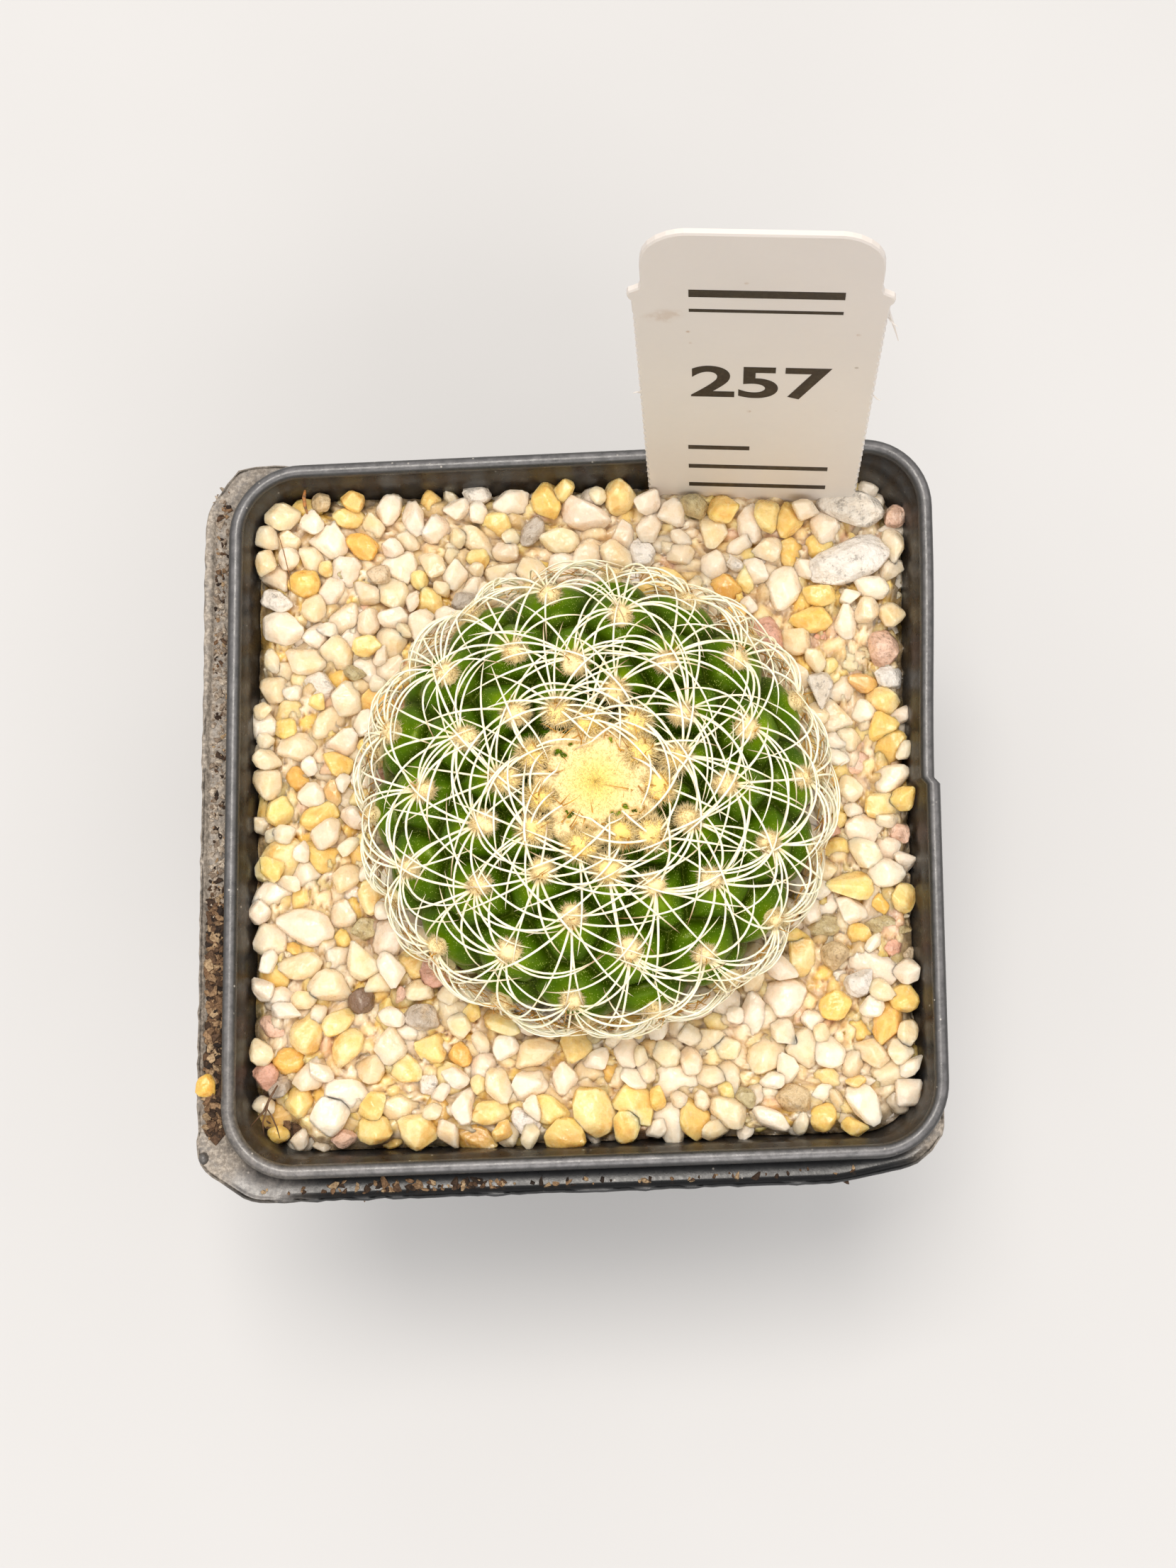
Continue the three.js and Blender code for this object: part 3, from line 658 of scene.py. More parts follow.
def square_ring(half, corner, z):
    """A rounded square, from the middle of the right side round to it again."""
    side = half - corner
    crack = [0.3 * CRACK_Y, CRACK_Y - 0.14, CRACK_Y + 0.02]
    points = [(half, y) for y in (*crack, *np.linspace(0.1, 0.9, 9) * side)]
    plain = np.linspace(-1, 1, 13)[1:-1] * side
    edges = ([(-t, half) for t in plain], [(-half, -t) for t in plain], [(t, -half) for t in plain],
             [(half, y) for y in plain[plain < -1]])
    for quarter, edge in enumerate(edges):
        middle = math.radians(45 + 90 * quarter)
        cx = math.copysign(side, math.cos(middle))
        cy = math.copysign(side, math.sin(middle))
        for i in range(CORNER_STEPS + 1):
            angle = middle + math.radians(-45 + 90 * i / CORNER_STEPS)
            points.append((cx + corner * math.cos(angle), cy + corner * math.sin(angle)))
        points += edge
    return np.array([(x, y, z) for x, y in points])


def cracked(points):
    """The right rim behind the crack has sprung inward a little, down to where the wall is whole."""
    points = np.array(points, float)
    x, y, z = points[..., 0], points[..., 1], points[..., 2]
    behind = (y > CRACK_Y) & (x > RIM_HALF - 3)
    share = (1 - smoothstep(y, CRACK_Y, CRACK_Y + 24)) * smoothstep(z, 52, 63)
    points[..., 0] -= np.where(behind, CRACK_STEP * share, 0)
    return points


def pot_piece(material):
    """The pot as one closed skin of rings, up the outside, over the bead and down the inside."""
    rings = [
        square_ring(BASE_HALF - 0.8, BASE_CORNER - 0.8, 0.0),
        square_ring(BASE_HALF - 0.3, BASE_CORNER - 0.3, 0.25),
        square_ring(outer_half(0.8), corner_at(0.8), 0.8),
    ]
    for z in (5, 12, SKEW_START_Z, 30, 40, 50, 56, 60, WALL_TOP_Z - 0.4, WALL_TOP_Z):
        rings.append(square_ring(outer_half(z), corner_at(z), z))
    bead_z = POT_HEIGHT - BEAD_RADIUS
    for angle in np.radians(np.linspace(-58, 205, 15)):
        out = BEAD_RADIUS * math.cos(angle)
        rings.append(square_ring(RIM_HALF + out, RIM_CORNER + out, bead_z + BEAD_RADIUS * math.sin(angle)))
    for z in (WALL_TOP_Z, 61, 58, 52, 40, SKEW_START_Z, 6, 2.4, FLOOR + 0.3):
        rings.append(square_ring(outer_half(z) - WALL, corner_at(z) - WALL, z))
    rings.append(square_ring(outer_half(FLOOR) - WALL - 0.9, corner_at(FLOOR) - WALL - 0.9, FLOOR))
    count = len(rings[0])
    points = cracked(skewed(np.array(rings)))
    faces = grid_faces(len(rings), count)
    x, y, z = points[..., 0], points[..., 1], points[..., 2]
    inner = np.arange(len(rings)) > len(rings) - 12
    corner = np.exp(-((x + 31) ** 2 + (y + 31) ** 2) / 60)
    dust = np.where(z > 62, 0.04 + 0.25 * corner, 0.0)
    dust[inner] *= 0.4
    # The inner wall gets the streaked dark brown, partly real stain and partly painted shade; the front of
    # the bead gets more of the lighter top tone, partly scuffs and partly a painted highlight
    values = {"dust": dust, "stain": np.broadcast_to(1.0 * inner[:, None], z.shape),
              "worn": 1 + 0.5 * smoothstep(-y, 33, 34)}
    under, over = points[0], points[-1]
    low_holes, high_holes = drain_holes(under[0, 2]), drain_holes(over[0, 2])
    every = np.concatenate([points.reshape(-1, 3), *low_holes, *high_holes])
    sides = len(low_holes[0])
    first_low = points.size // 3
    first_high = first_low + 4 * sides
    low_index = np.concatenate([np.arange(count), np.arange(first_low, first_high)])
    high_index = np.concatenate([
        (len(rings) - 1) * count + np.arange(count), np.arange(first_high, len(every))])
    walls = []
    j = np.arange(sides)
    for hole in range(4):
        a, b = first_low + hole * sides, first_high + hole * sides
        walls.append(np.column_stack([a + (j + 1) % sides, a + j, b + j, b + (j + 1) % sides]))
    bodies = Bodies()
    bodies.add(every, [
        faces, np.concatenate(walls),
        low_index[pierced(under, low_holes, -1)], high_index[pierced(over, high_holes, 1)],
    ], **{key: np.pad(value.ravel(), (0, 8 * sides)) for key, value in values.items()})
    add_flange(bodies)
    return bodies.piece("pot_shell", material, "pot_plastic", ["pot"])


def drain_holes(z):
    """The four round holes of the floor, as loops of points at a height."""
    angle = circle(24)
    loops = []
    for x, y in ((1, 1), (-1, 1), (-1, -1), (1, -1)):
        loops.append(np.column_stack([x * DRAIN_PLACE + DRAIN_RADIUS * np.cos(angle),
                                      y * DRAIN_PLACE + DRAIN_RADIUS * np.sin(angle), np.full(24, z)]))
    return loops


def pierced(outline, holes, facing):
    """Triangles of a flat face with holes, looking up or down."""
    loops = [[Vector(p) for p in loop] for loop in (outline, *holes)]
    triangles = np.array(tessellate_polygon(loops))
    points = np.concatenate([outline, *holes])
    a, b, c = (points[triangles[:, k]] for k in range(3))
    up = np.cross(b - a, c - a)[:, 2] * facing > 0
    triangles[~up] = triangles[~up][:, ::-1]
    return triangles


def add_flange(bodies):
    """The ledge left where the pot was cut from its tray, with a raised lip along its outer edge."""
    random = np.random.default_rng(11)
    outline = [np.array(p, float) for p in FLANGE_OUTLINE]
    path = [outline[0]]
    for a, b in zip(outline, outline[1:]):
        steps = max(2, int(np.linalg.norm(b - a) / 0.8))
        path += [a + (b - a) * i / steps for i in range(1, steps + 1)]
    path = np.array(path)
    for _ in range(2):
        path[1:-1] = (path[:-2] + 2 * path[1:-1] + path[2:]) / 4
    core = RIM_HALF - RIM_CORNER
    middle = np.clip(path, -core, core)
    away = unit(path - middle)
    bead = middle + RIM_CORNER * away
    width = np.linalg.norm(path - bead, axis=1)
    rough = 0.05 * random.normal(size=len(path))
    x, y = path[:, 0], path[:, 1]
    at_corner = smoothstep(np.hypot(x + 37, y + 37), 6, 13)
    lip = LIP_HEIGHT * smoothstep(width, 1.6, 2.6) * (0.12 + 0.88 * at_corner)
    lip *= 1 - 0.6 * smoothstep(np.hypot(x + 37, y - 36), 9, 4)
    left = smoothstep(-x, 36, 37)
    lip_width = 0.42 + 0.3 * left * smoothstep(y, 6, 24)
    top = FLANGE_TOP_Z + lip
    base = FLANGE_TOP_Z - FLANGE_THICKNESS
    profile = [
        (width, base), (0.5 + 0 * width, base), (0.25 + rough, base + 0.06), (rough, base + 0.3),
        (rough, top - 0.25), (0.08 + rough, top - 0.07), (0.25 + rough, top), (lip_width - 0.2, top),
        (lip_width, top - 0.08), (lip_width + 0.14, FLANGE_TOP_Z + 0.5 * lip),
        (lip_width + 0.3, FLANGE_TOP_Z + 0.05), (lip_width + 0.5, FLANGE_TOP_Z), (width, FLANGE_TOP_Z),
    ]
    rings = []
    for inward, z in profile:
        inward = np.minimum(inward, width)
        place = path - away * inward[:, None]
        rings.append(np.column_stack([place, np.broadcast_to(z, len(path))]))
    rings = np.array(rings).transpose(1, 0, 2)
    steps, sides, _ = rings.shape
    # Painted shade: the front ledge is kept darker, with less of the dust tone and less of the lighter top
    # tone, as it lies in shade
    front = smoothstep(-y, 34, 36)
    dust = np.repeat((0.85 - 0.85 * front)[:, None], sides, axis=1)
    dust += 0.4 * (left * smoothstep(y, -10, 4))[:, None]
    dust[:, :4] = 0.12
    dust += 0.25 * (1 - at_corner)[:, None]
    dust = np.clip(dust, 0, 0.95)
    ends = [np.arange(sides)[None], ((steps - 1) * sides + np.arange(sides))[::-1][None]]
    worn = np.repeat(1 - 0.9 * front * at_corner, sides)
    bodies.add(skewed(rings), [grid_faces(steps, sides)[:, ::-1], *ends],
               dust=dust.ravel(), stain=0.0, worn=worn)
    sphere, triangles = ball(2)
    nub = np.array([-36.75, -33.1, FLANGE_TOP_Z]) + sphere * [0.5, 0.6, 0.55]
    bodies.add(nub, [triangles], dust=0.2, stain=0.0, worn=0.5)


# Plant

def make_meridian():
    """Radius, height and arc length down the envelope from the crown to the neck."""
    angle = np.linspace(0, math.pi / 2, 201)
    cosine = np.clip(np.cos(angle), 0, 1)
    upper = np.column_stack([PLANT_RADIUS * np.sin(angle) ** (2 / CROWN_POWER),
                             EQUATOR_Z + CROWN_HEIGHT * cosine ** (2 / CROWN_POWER)])
    lower = np.column_stack([PLANT_RADIUS * np.sin(angle) ** (2 / UNDER_POWER),
                             EQUATOR_Z - UNDER_DEPTH * cosine ** (2 / UNDER_POWER)])[::-1][1:]
    lower = lower[lower[:, 1] >= NECK_Z]
    rows = np.concatenate([upper, lower])
    arc = np.concatenate([[0], np.cumsum(np.linalg.norm(np.diff(rows, axis=0), axis=1))])
    return rows[:, 0], rows[:, 1], arc


MERIDIAN_R, MERIDIAN_Z, MERIDIAN_ARC = make_meridian()


def profile_at(arc):
    return np.interp(arc, MERIDIAN_ARC, MERIDIAN_R), np.interp(arc, MERIDIAN_ARC, MERIDIAN_Z)


def on_plant(arc, angle, lift):
    """Points over the envelope: arc length from the crown, compass angle and height above the skin."""
    arc = np.asarray(arc, float)
    r, z = profile_at(arc)
    near_r, near_z = profile_at(np.maximum(arc - 0.2, 0))
    far_r, far_z = profile_at(arc + 0.2)
    length = np.hypot(far_r - near_r, far_z - near_z)
    out = r - lift * (far_z - near_z) / length
    high = z + lift * (far_r - near_r) / length
    return np.stack(np.broadcast_arrays(PLANT_X + out * np.cos(angle), out * np.sin(angle), high), axis=-1)


def areole_arc(n):
    n = np.asarray(n, float)
    inner = MIDDLE_ARC + ARC_RISE * np.tanh((np.minimum(n, FIRST_EVEN) - MIDDLE_AREOLE) / RISE_SPREAD)
    return inner + np.maximum(n - FIRST_EVEN, 0) * EVEN_STEP


def areole_angle(n):
    return np.radians(FIRST_ANGLE + np.asarray(n, float) * TURN)


def valley_at(points):
    """0 at the middle of a tubercle and 1 on the line between two."""
    n = np.arange(YOUNGEST, AREOLE_COUNT + 11)
    tips = on_plant(np.maximum(areole_arc(n) + 0.9 * smoothstep(n, -2, 14), 0.2), areole_angle(n), 0)
    return nearest_of(tips, points)[0]


def body_piece(material):
    """The green body: the envelope sunk between the tubercles, and the root under it."""
    foot = np.interp(-BODY_FOOT_Z, -MERIDIAN_Z, MERIDIAN_ARC)
    arcs = np.concatenate([
        np.linspace(0.12, 8, 40), np.linspace(8.15, 31.5, 150)[1:], np.linspace(31.5, foot, 8)[1:]])
    angle = circle(BODY_COLUMNS)
    arc, around = np.meshgrid(arcs, angle, indexing="ij")
    skin = on_plant(arc, around, 0.0)
    ratio = valley_at(skin.reshape(-1, 3)).reshape(arc.shape)
    depth = VALLEY_DEPTH * smoothstep(arc, 3, 10) * (1 - 0.5 * smoothstep(arc, 30, foot))
    shape = ratio ** VALLEY_POWER * (0.75 + 0.25 * ratio ** 4)
    rings = on_plant(arc, around, -depth * shape)
    root = np.array([[(PLANT_X + r * math.cos(a), r * math.sin(a), z) for a in angle] for r, z in ROOT])
    points = np.concatenate([rings, root])
    valley = np.concatenate([ratio, np.ones((len(ROOT), BODY_COLUMNS))])
    top = np.arange(BODY_COLUMNS)[None]
    bottom = ((len(points) - 1) * BODY_COLUMNS + np.arange(BODY_COLUMNS))[::-1][None]
    bodies = Bodies()
    bodies.add(points, [grid_faces(len(points), BODY_COLUMNS)[:, ::-1], top, bottom], valley=valley.ravel())
    return bodies.piece("cactus_skin", material, "plant_skin", ["cactus_body"])


def spine_path(n, heading, length, curl, arch, tip_lift, root_lift=0.5):
    """Follows the skin from areole n: heading 0 is down the flank, and curl turns it on the way."""
    straight = 0.85 - 0.3 * smoothstep(n, 25, 45)
    arc = float(areole_arc(n))
    angle = float(areole_angle(n)) + 0.4 * math.sin(heading) / max(float(profile_at(arc)[0]), SPINE_AXIS_GAP)
    arc += 0.3 + 0.4 * math.cos(heading)
    step = length / (SPINE_STEPS - 1)
    points = []
    for i in range(SPINE_STEPS):
        t = i / (SPINE_STEPS - 1)
        lift = root_lift + arch * math.sin(math.pi * t ** 0.85) + (tip_lift - root_lift) * t * t
        point = on_plant(abs(arc), angle + (math.pi if arc < 0 else 0), lift)
        points.append(point)
        r, _ = profile_at(abs(arc))
        far, _ = profile_at(abs(arc) + 0.3)
        near, _ = profile_at(max(abs(arc) - 0.3, 0))
        r = max(float(r), SPINE_AXIS_GAP)
        grow = float(far - near) / 0.6
        arc = max(arc + step * math.cos(heading), 3.3 + 0.15 * (n % 6))
        angle += step * math.sin(heading) / r
        heading += step * (curl - straight * grow / r * math.sin(heading))
    points = np.array(points)
    low = SPINE_FLOOR_Z + 0.25 * np.sin(np.arange(SPINE_STEPS) * 0.9 + n)
    points[:, 2] = np.maximum(points[:, 2], low)
    return points


def spines_piece(material):
    """A fan of arching spines from each areole, fuller on the older ones."""
    random = np.random.default_rng(7)
    paths, radii, tints = [], [], []
    t = np.linspace(0, 1, SPINE_STEPS)
    for n in range(AREOLE_COUNT + 1):
        grown = min(1, (n + 4) / 18)
        shown = 0.28 + 0.62 * smoothstep(n, 0, 14)
        fan = []
        twist = random.normal(0, 12)
        for side in (-1, 1):
            bend = random.uniform(18, 62) * (0.8 + 0.3 * smoothstep(n, 10, 40))
            for heading in SPINE_FAN:
                if random.uniform() < shown:
                    share = 0.2 + 0.8 * math.sin(math.radians(1.2 * heading))
                    turned = bend * share + random.normal(0, 14)
                    fan.append((twist + side * (heading + random.normal(0, 9)), side * turned))
        if n > 7:
            for _ in range(random.integers(0, 3)):
                fan.append((random.uniform(128, 232), random.normal(0, 34)))
        for heading, bend in fan:
            length = SPINE_LENGTH * (0.66 + 0.34 * grown) * random.normal(1, 0.12) * (0.9 if n > 52 else 1)
            curl = math.radians(bend) / length
            arch = random.uniform(0.7, 1.1) + 0.5 * abs(math.sin(math.radians(heading)))
            if abs(heading) > 125:
                length *= 0.72
            paths.append(spine_path(n, math.radians(heading), length, curl, arch, random.uniform(0.35, 1.2)))
            base = random.uniform(*SPINE_RADIUS)
            radii.append(base * (1 - 0.25 * t) * np.sqrt(np.clip(1.02 - t ** 3, 0.02, 1)))
            tints.append(random.uniform(0, 1) ** 2)
    along = np.repeat(np.tile(t, len(paths)), SPINE_SIDES)
    return strands_piece("radial_spines", material, paths, radii, tints, SPINE_SIDES, ["spines"],
                         along=along)


def hairs(bodies, roots, directions, lengths, radius, droop, random, **values):
    """Short three-sided hairs with a bend, in three steps."""
    t = np.array([0.0, 0.55, 1.0])
    bend = random.normal(0, 1, directions.shape) * droop
    paths = (roots[:, None] + directions[:, None] * (lengths[:, None] * t)[..., None]
             + bend[:, None] * (lengths[:, None] * t ** 2)[..., None])
    radii = np.tile(radius * np.array([1.0, 0.8, 0.2]), (len(roots), 1))
    points, faces = tubes(paths, radii, 3)
    bodies.add(points, faces, **{key: np.repeat(value, 9) for key, value in values.items()})


def outward_at(arc, angle):
    return on_plant(arc, angle, 1.0) - on_plant(arc, angle, 0.0)


def spikes(bodies, roots, directions, lengths, radius, **values):
    """Fine straight hairs, each a thin three-sided spike."""
    helper = np.where(np.abs(directions[:, 2:3]) < 0.8, [[0, 0, 1.0]], [[1.0, 0, 0]])
    side = unit(np.cross(directions, helper))
    across = np.cross(directions, side)
    corners = [side * math.cos(a) + across * math.sin(a) for a in np.radians([0, 120, 240])]
    points = [roots + radius * corner for corner in corners]
    points.append(roots + directions * lengths[:, None])
    points = np.stack(points, axis=1).reshape(-1, 3)
    first = 4 * np.arange(len(roots))[:, None]
    faces = np.concatenate([first + ring for ring in ([0, 2, 1], [0, 1, 3], [1, 2, 3], [2, 0, 3])])
    bodies.add(points, [faces], **{key: np.repeat(value, 4) for key, value in values.items()})


def wool_pads_piece(material):
    """A cushion of wool at each areole, big and yellow at the crown, with short hairs all over."""
    random = np.random.default_rng(17)
    sphere, triangles = ball(3)
    bodies = Bodies()
    for n in range(AREOLE_COUNT + 1):
        arc, angle = areole_arc(n) - 0.3, areole_angle(n)
        radius = PAD_RADIUS - 0.24 * smoothstep(n, 9, 18) - 0.16 * smoothstep(n, 26, 42)
        radius *= random.uniform(0.92, 1.08)
        warm = float(np.clip(1.1 - n / 17, 0, 1)) * 0.6 + random.uniform(0, 0.12)
        turn = np.array(Vector((0, 0, 1)).rotation_difference(Vector(outward_at(arc, angle))).to_matrix())
        centre = on_plant(arc, angle, 0.3)
        waves = random.normal(0, 1, (7, 3))
        swell = 0.93 + 0.035 * np.sin(3.2 * sphere @ waves.T + random.uniform(0, 6, 7)).sum(axis=1)
        squash = np.array([radius, radius * random.uniform(0.82, 1), PAD_HALF_HEIGHT])
        shape = sphere * (swell + 0.03 * random.normal(size=len(sphere)).clip(-1.5, 1.5))[:, None] * squash
        tone = np.clip(warm + 0.2 * (n < 14), 0, 1)
        bodies.add(centre + shape @ turn.T, [triangles], warm=tone)
        young = 1 - smoothstep(n, 8, 20)
        count = PAD_HAIRS + int((YOUNG_PAD_HAIRS - PAD_HAIRS) * young)
        spots = sphere_spots(count, random)
        roots = centre + (spots * squash * 0.9) @ turn.T
        directions = unit((spots * [1, 1, 0.6] + random.normal(0, 0.3, spots.shape)) @ turn.T)
        tone = np.clip(0.5 * warm + random.normal(0, 0.15, count), 0, 1)
        at_rim = np.hypot(spots[:, 0], spots[:, 1]) ** 2
        lengths = random.uniform(0.5, 1, count) * (0.2 + (0.55 + 0.45 * young) * at_rim)
        spikes(bodies, roots, directions, lengths, 0.038 + 0.018 * young, warm=tone)
    return bodies.piece("areole_wool", material, "wool")


def sphere_spots(count, random):
    """Even spots over the upper part of a unit sphere."""
    height = random.uniform(-0.15, 1, count)
    angle = random.uniform(0, math.tau, count)
    level = np.sqrt(1 - height ** 2)
    return np.column_stack([level * np.cos(angle), level * np.sin(angle), height])


def crown_marks(random):
    """The swellings of the young areoles round the growing point, and the small gaps in the felt."""
    tufts = []
    for n in range(-1, YOUNGEST - 1, -1):
        place = on_plant(float(areole_arc(n)) + 0.2, float(areole_angle(n)), 0.0)
        tufts.append((place, random.uniform(1.0, 1.3)))
    gaps = []
    for _ in range(FELT_GAPS):
        arc, angle = random.uniform(3.5, 5.2), random.uniform(0, math.tau)
        for _ in range(3):
            place = on_plant(arc + random.normal(0, 0.22), angle + random.normal(0, 0.06), 0.0)
            gaps.append((place, random.uniform(0.16, 0.36)))
    return tufts, gaps


def crown_lift(arc, angle, marks):
    """Height of the felt over the skin: a flat mat with soft swellings, small gaps and a ragged rim."""
    tufts, gaps = marks
    foot = on_plant(arc, angle, 0.0)
    edge = FELT_RIM + 0.25 * np.sin(5 * angle + 1) + 0.2 * np.sin(9 * angle + 2.3)
    edge += 0.14 * np.sin(17 * angle)
    lift = FELT_HEIGHT * smoothstep(edge - arc, 0, 0.8) - 0.6 * smoothstep(arc - edge, -0.1, 0.3)
    for place, radius in tufts:
        reach = np.linalg.norm(foot - place, axis=-1) / radius
        lift = np.maximum(lift, 0.82 * np.sqrt(np.clip(1 - reach ** 2.2, 0, 1)) - 0.6 * (reach > 0.98))
    for place, radius in gaps:
        lift -= 0.75 * (1 - smoothstep(np.linalg.norm(foot - place, axis=-1) / radius, 0.2, 1.3))
    return lift + 0.16 * np.exp(-(arc / 1.6) ** 2)


def crown_wool_piece(material):
    """The woolly cap: one felted mat with a ragged rim, covered in fine short hair."""
    random = np.random.default_rng(23)
    marks = crown_marks(random)
    arc, angle = np.meshgrid(np.linspace(0.02, FELT_REACH, FELT_RINGS),
                             circle(FELT_COLUMNS), indexing="ij")
    lift = crown_lift(arc, angle, marks) + 0.035 * random.normal(size=arc.shape).clip(-2, 2)
    top = on_plant(arc, angle, lift)
    under = on_plant(arc[-1:], angle[-1:], -FELT_DEPTH)
    base = on_plant(arc[:1] + 0.3, angle[:1], -FELT_DEPTH)
    warm = np.concatenate([np.clip(1.05 - arc / 4.2, 0.08, 1), np.zeros((2, FELT_COLUMNS))])
    points = np.concatenate([top, under, base])
    first = np.arange(FELT_COLUMNS)[None]
    last = (len(points) - 1) * FELT_COLUMNS + first[:, ::-1]
    bodies = Bodies()
    bodies.add(points, [grid_faces(len(points), FELT_COLUMNS)[:, ::-1], first, last], warm=warm.ravel())
    hair_arc = np.sqrt(random.uniform(0, 1, FELT_HAIRS)) * (FELT_REACH - 0.1)
    hair_angle = random.uniform(0, math.tau, FELT_HAIRS)
    level = crown_lift(hair_arc, hair_angle, marks)
    kept = level > 0.02
    hair_arc, hair_angle, level = hair_arc[kept], hair_angle[kept], level[kept]
    roots = on_plant(hair_arc, hair_angle, level - 0.04)
    outward = outward_at(hair_arc, hair_angle) * random.uniform(0.15, 0.5, (len(roots), 1))
    directions = unit(outward + random.normal(0, 0.55, roots.shape))
    tone = np.clip(0.85 - hair_arc / 4.8 + random.normal(0, 0.2, len(roots)), 0, 1)
    lengths = random.uniform(0.12, 0.28, len(roots)) * (1 + 0.5 * smoothstep(hair_arc, 4.2, 5.4))
    hairs(bodies, roots, directions, lengths, FELT_HAIR_RADIUS, 0.5, random, warm=tone)
    return bodies.piece("crown_wool_hair", material, "wool", ["crown_wool"])


def bristles_piece(material):
    """Thin brown and amber bristles at the crown and in the areoles."""
    random = np.random.default_rng(31)
    t = np.linspace(0, 1, BRISTLE_STEPS)
    paths, radii, tints, places = [], [], [], []
    for n in range(YOUNGEST, AREOLE_COUNT + 1):
        count = 3 if n < 0 else int(random.integers(3, 7)) if n < 12 else int(random.integers(1, 5))
        places += [(float(areole_arc(n)), float(areole_angle(n)), n)] * count
    for arc, angle, n in places:
        outward = outward_at(max(arc, 0.05), angle)
        root = on_plant(max(arc, 0.05), angle, 0.8) + random.normal(0, 0.4, 3)
        direction = unit(outward * random.uniform(0.1, 0.6) + random.normal(0, 0.5, 3))
        length = random.uniform(1.2, 2.6) if n < 10 else random.uniform(0.8, 2.0)
        bend = random.normal(0, 0.12, 3)
        paths.append(root + direction * (length * t)[:, None] + bend * (length * t * t)[:, None])
        radii.append((YOUNG_BRISTLE_RADIUS if n < 12 else BRISTLE_RADIUS) * (1.05 - t))
        tints.append(random.uniform(0, 1))
    return strands_piece("amber_bristles", material, paths, radii, tints, BRISTLE_SIDES)


def fringe_piece(material):
    """Old spine tips at the foot of the plant: fine, tan and curling over the grit."""
    random = np.random.default_rng(37)
    t = np.linspace(0, 1, OLD_TIP_STEPS)
    paths, radii, tints = [], [], []
    for _ in range(OLD_TIPS):
        angle = random.uniform(0, math.tau)
        height = random.uniform(*OLD_TIP_HEIGHTS)
        arc = np.interp(-height, -MERIDIAN_Z, MERIDIAN_ARC)
        length = random.uniform(1.6, 4.2)
        around = random.choice([-1, 1]) * random.uniform(0.3, 1.1)
        curl = random.normal(0, 0.35)
        angles = angle + around * length * t / 22 + curl * t * t / 22
        lift = random.uniform(0.3, 1.0) + random.uniform(-0.2, 0.6) * np.sin(math.pi * t) + 0.5 * t
        points = on_plant(arc + random.uniform(-1.5, 0.8) * t, angles, lift)
        points[:, 2] = np.maximum(points[:, 2], OLD_TIP_FLOOR_Z)
        paths.append(points)
        radii.append(random.uniform(0.035, 0.07) * (1.04 - t))
        tints.append(random.uniform(0, 1))
    return strands_piece("old_spine_tips", material, paths, radii, tints, BRISTLE_SIDES)


# Grit

WHITE_STONES = [(246, 229, 209), (247, 230, 208), (242, 225, 206), (249, 233, 213), (237, 219, 201)]
CLEAR_STONES = [(246, 223, 192), (247, 222, 186), (246, 219, 182), (241, 219, 193), (248, 225, 182)]
YELLOW_STONES = [(246, 216, 150), (243, 207, 132), (246, 220, 166), (240, 201, 120)]
GOLD_STONES = [(236, 196, 124), (230, 186, 110), (226, 186, 128), (236, 190, 106)]
MIXED_STONES = [(212, 188, 148), (220, 198, 166), (196, 182, 140), (232, 196, 174), (224, 174, 152),
                (198, 186, 172), (132, 106, 88)]
SPECKLED_STONES = [(238, 232, 224), (234, 226, 214), (232, 204, 186)]
# Kinds of stone: their tones, and their share of the grit
STONE_KINDS = {
    "white": (WHITE_STONES, 0.32), "clear": (CLEAR_STONES, 0.39), "yellow": (YELLOW_STONES, 0.17),
    "gold": (GOLD_STONES, 0.05), "mixed": (MIXED_STONES, 0.04), "speckled": (SPECKLED_STONES, 0.03),
}

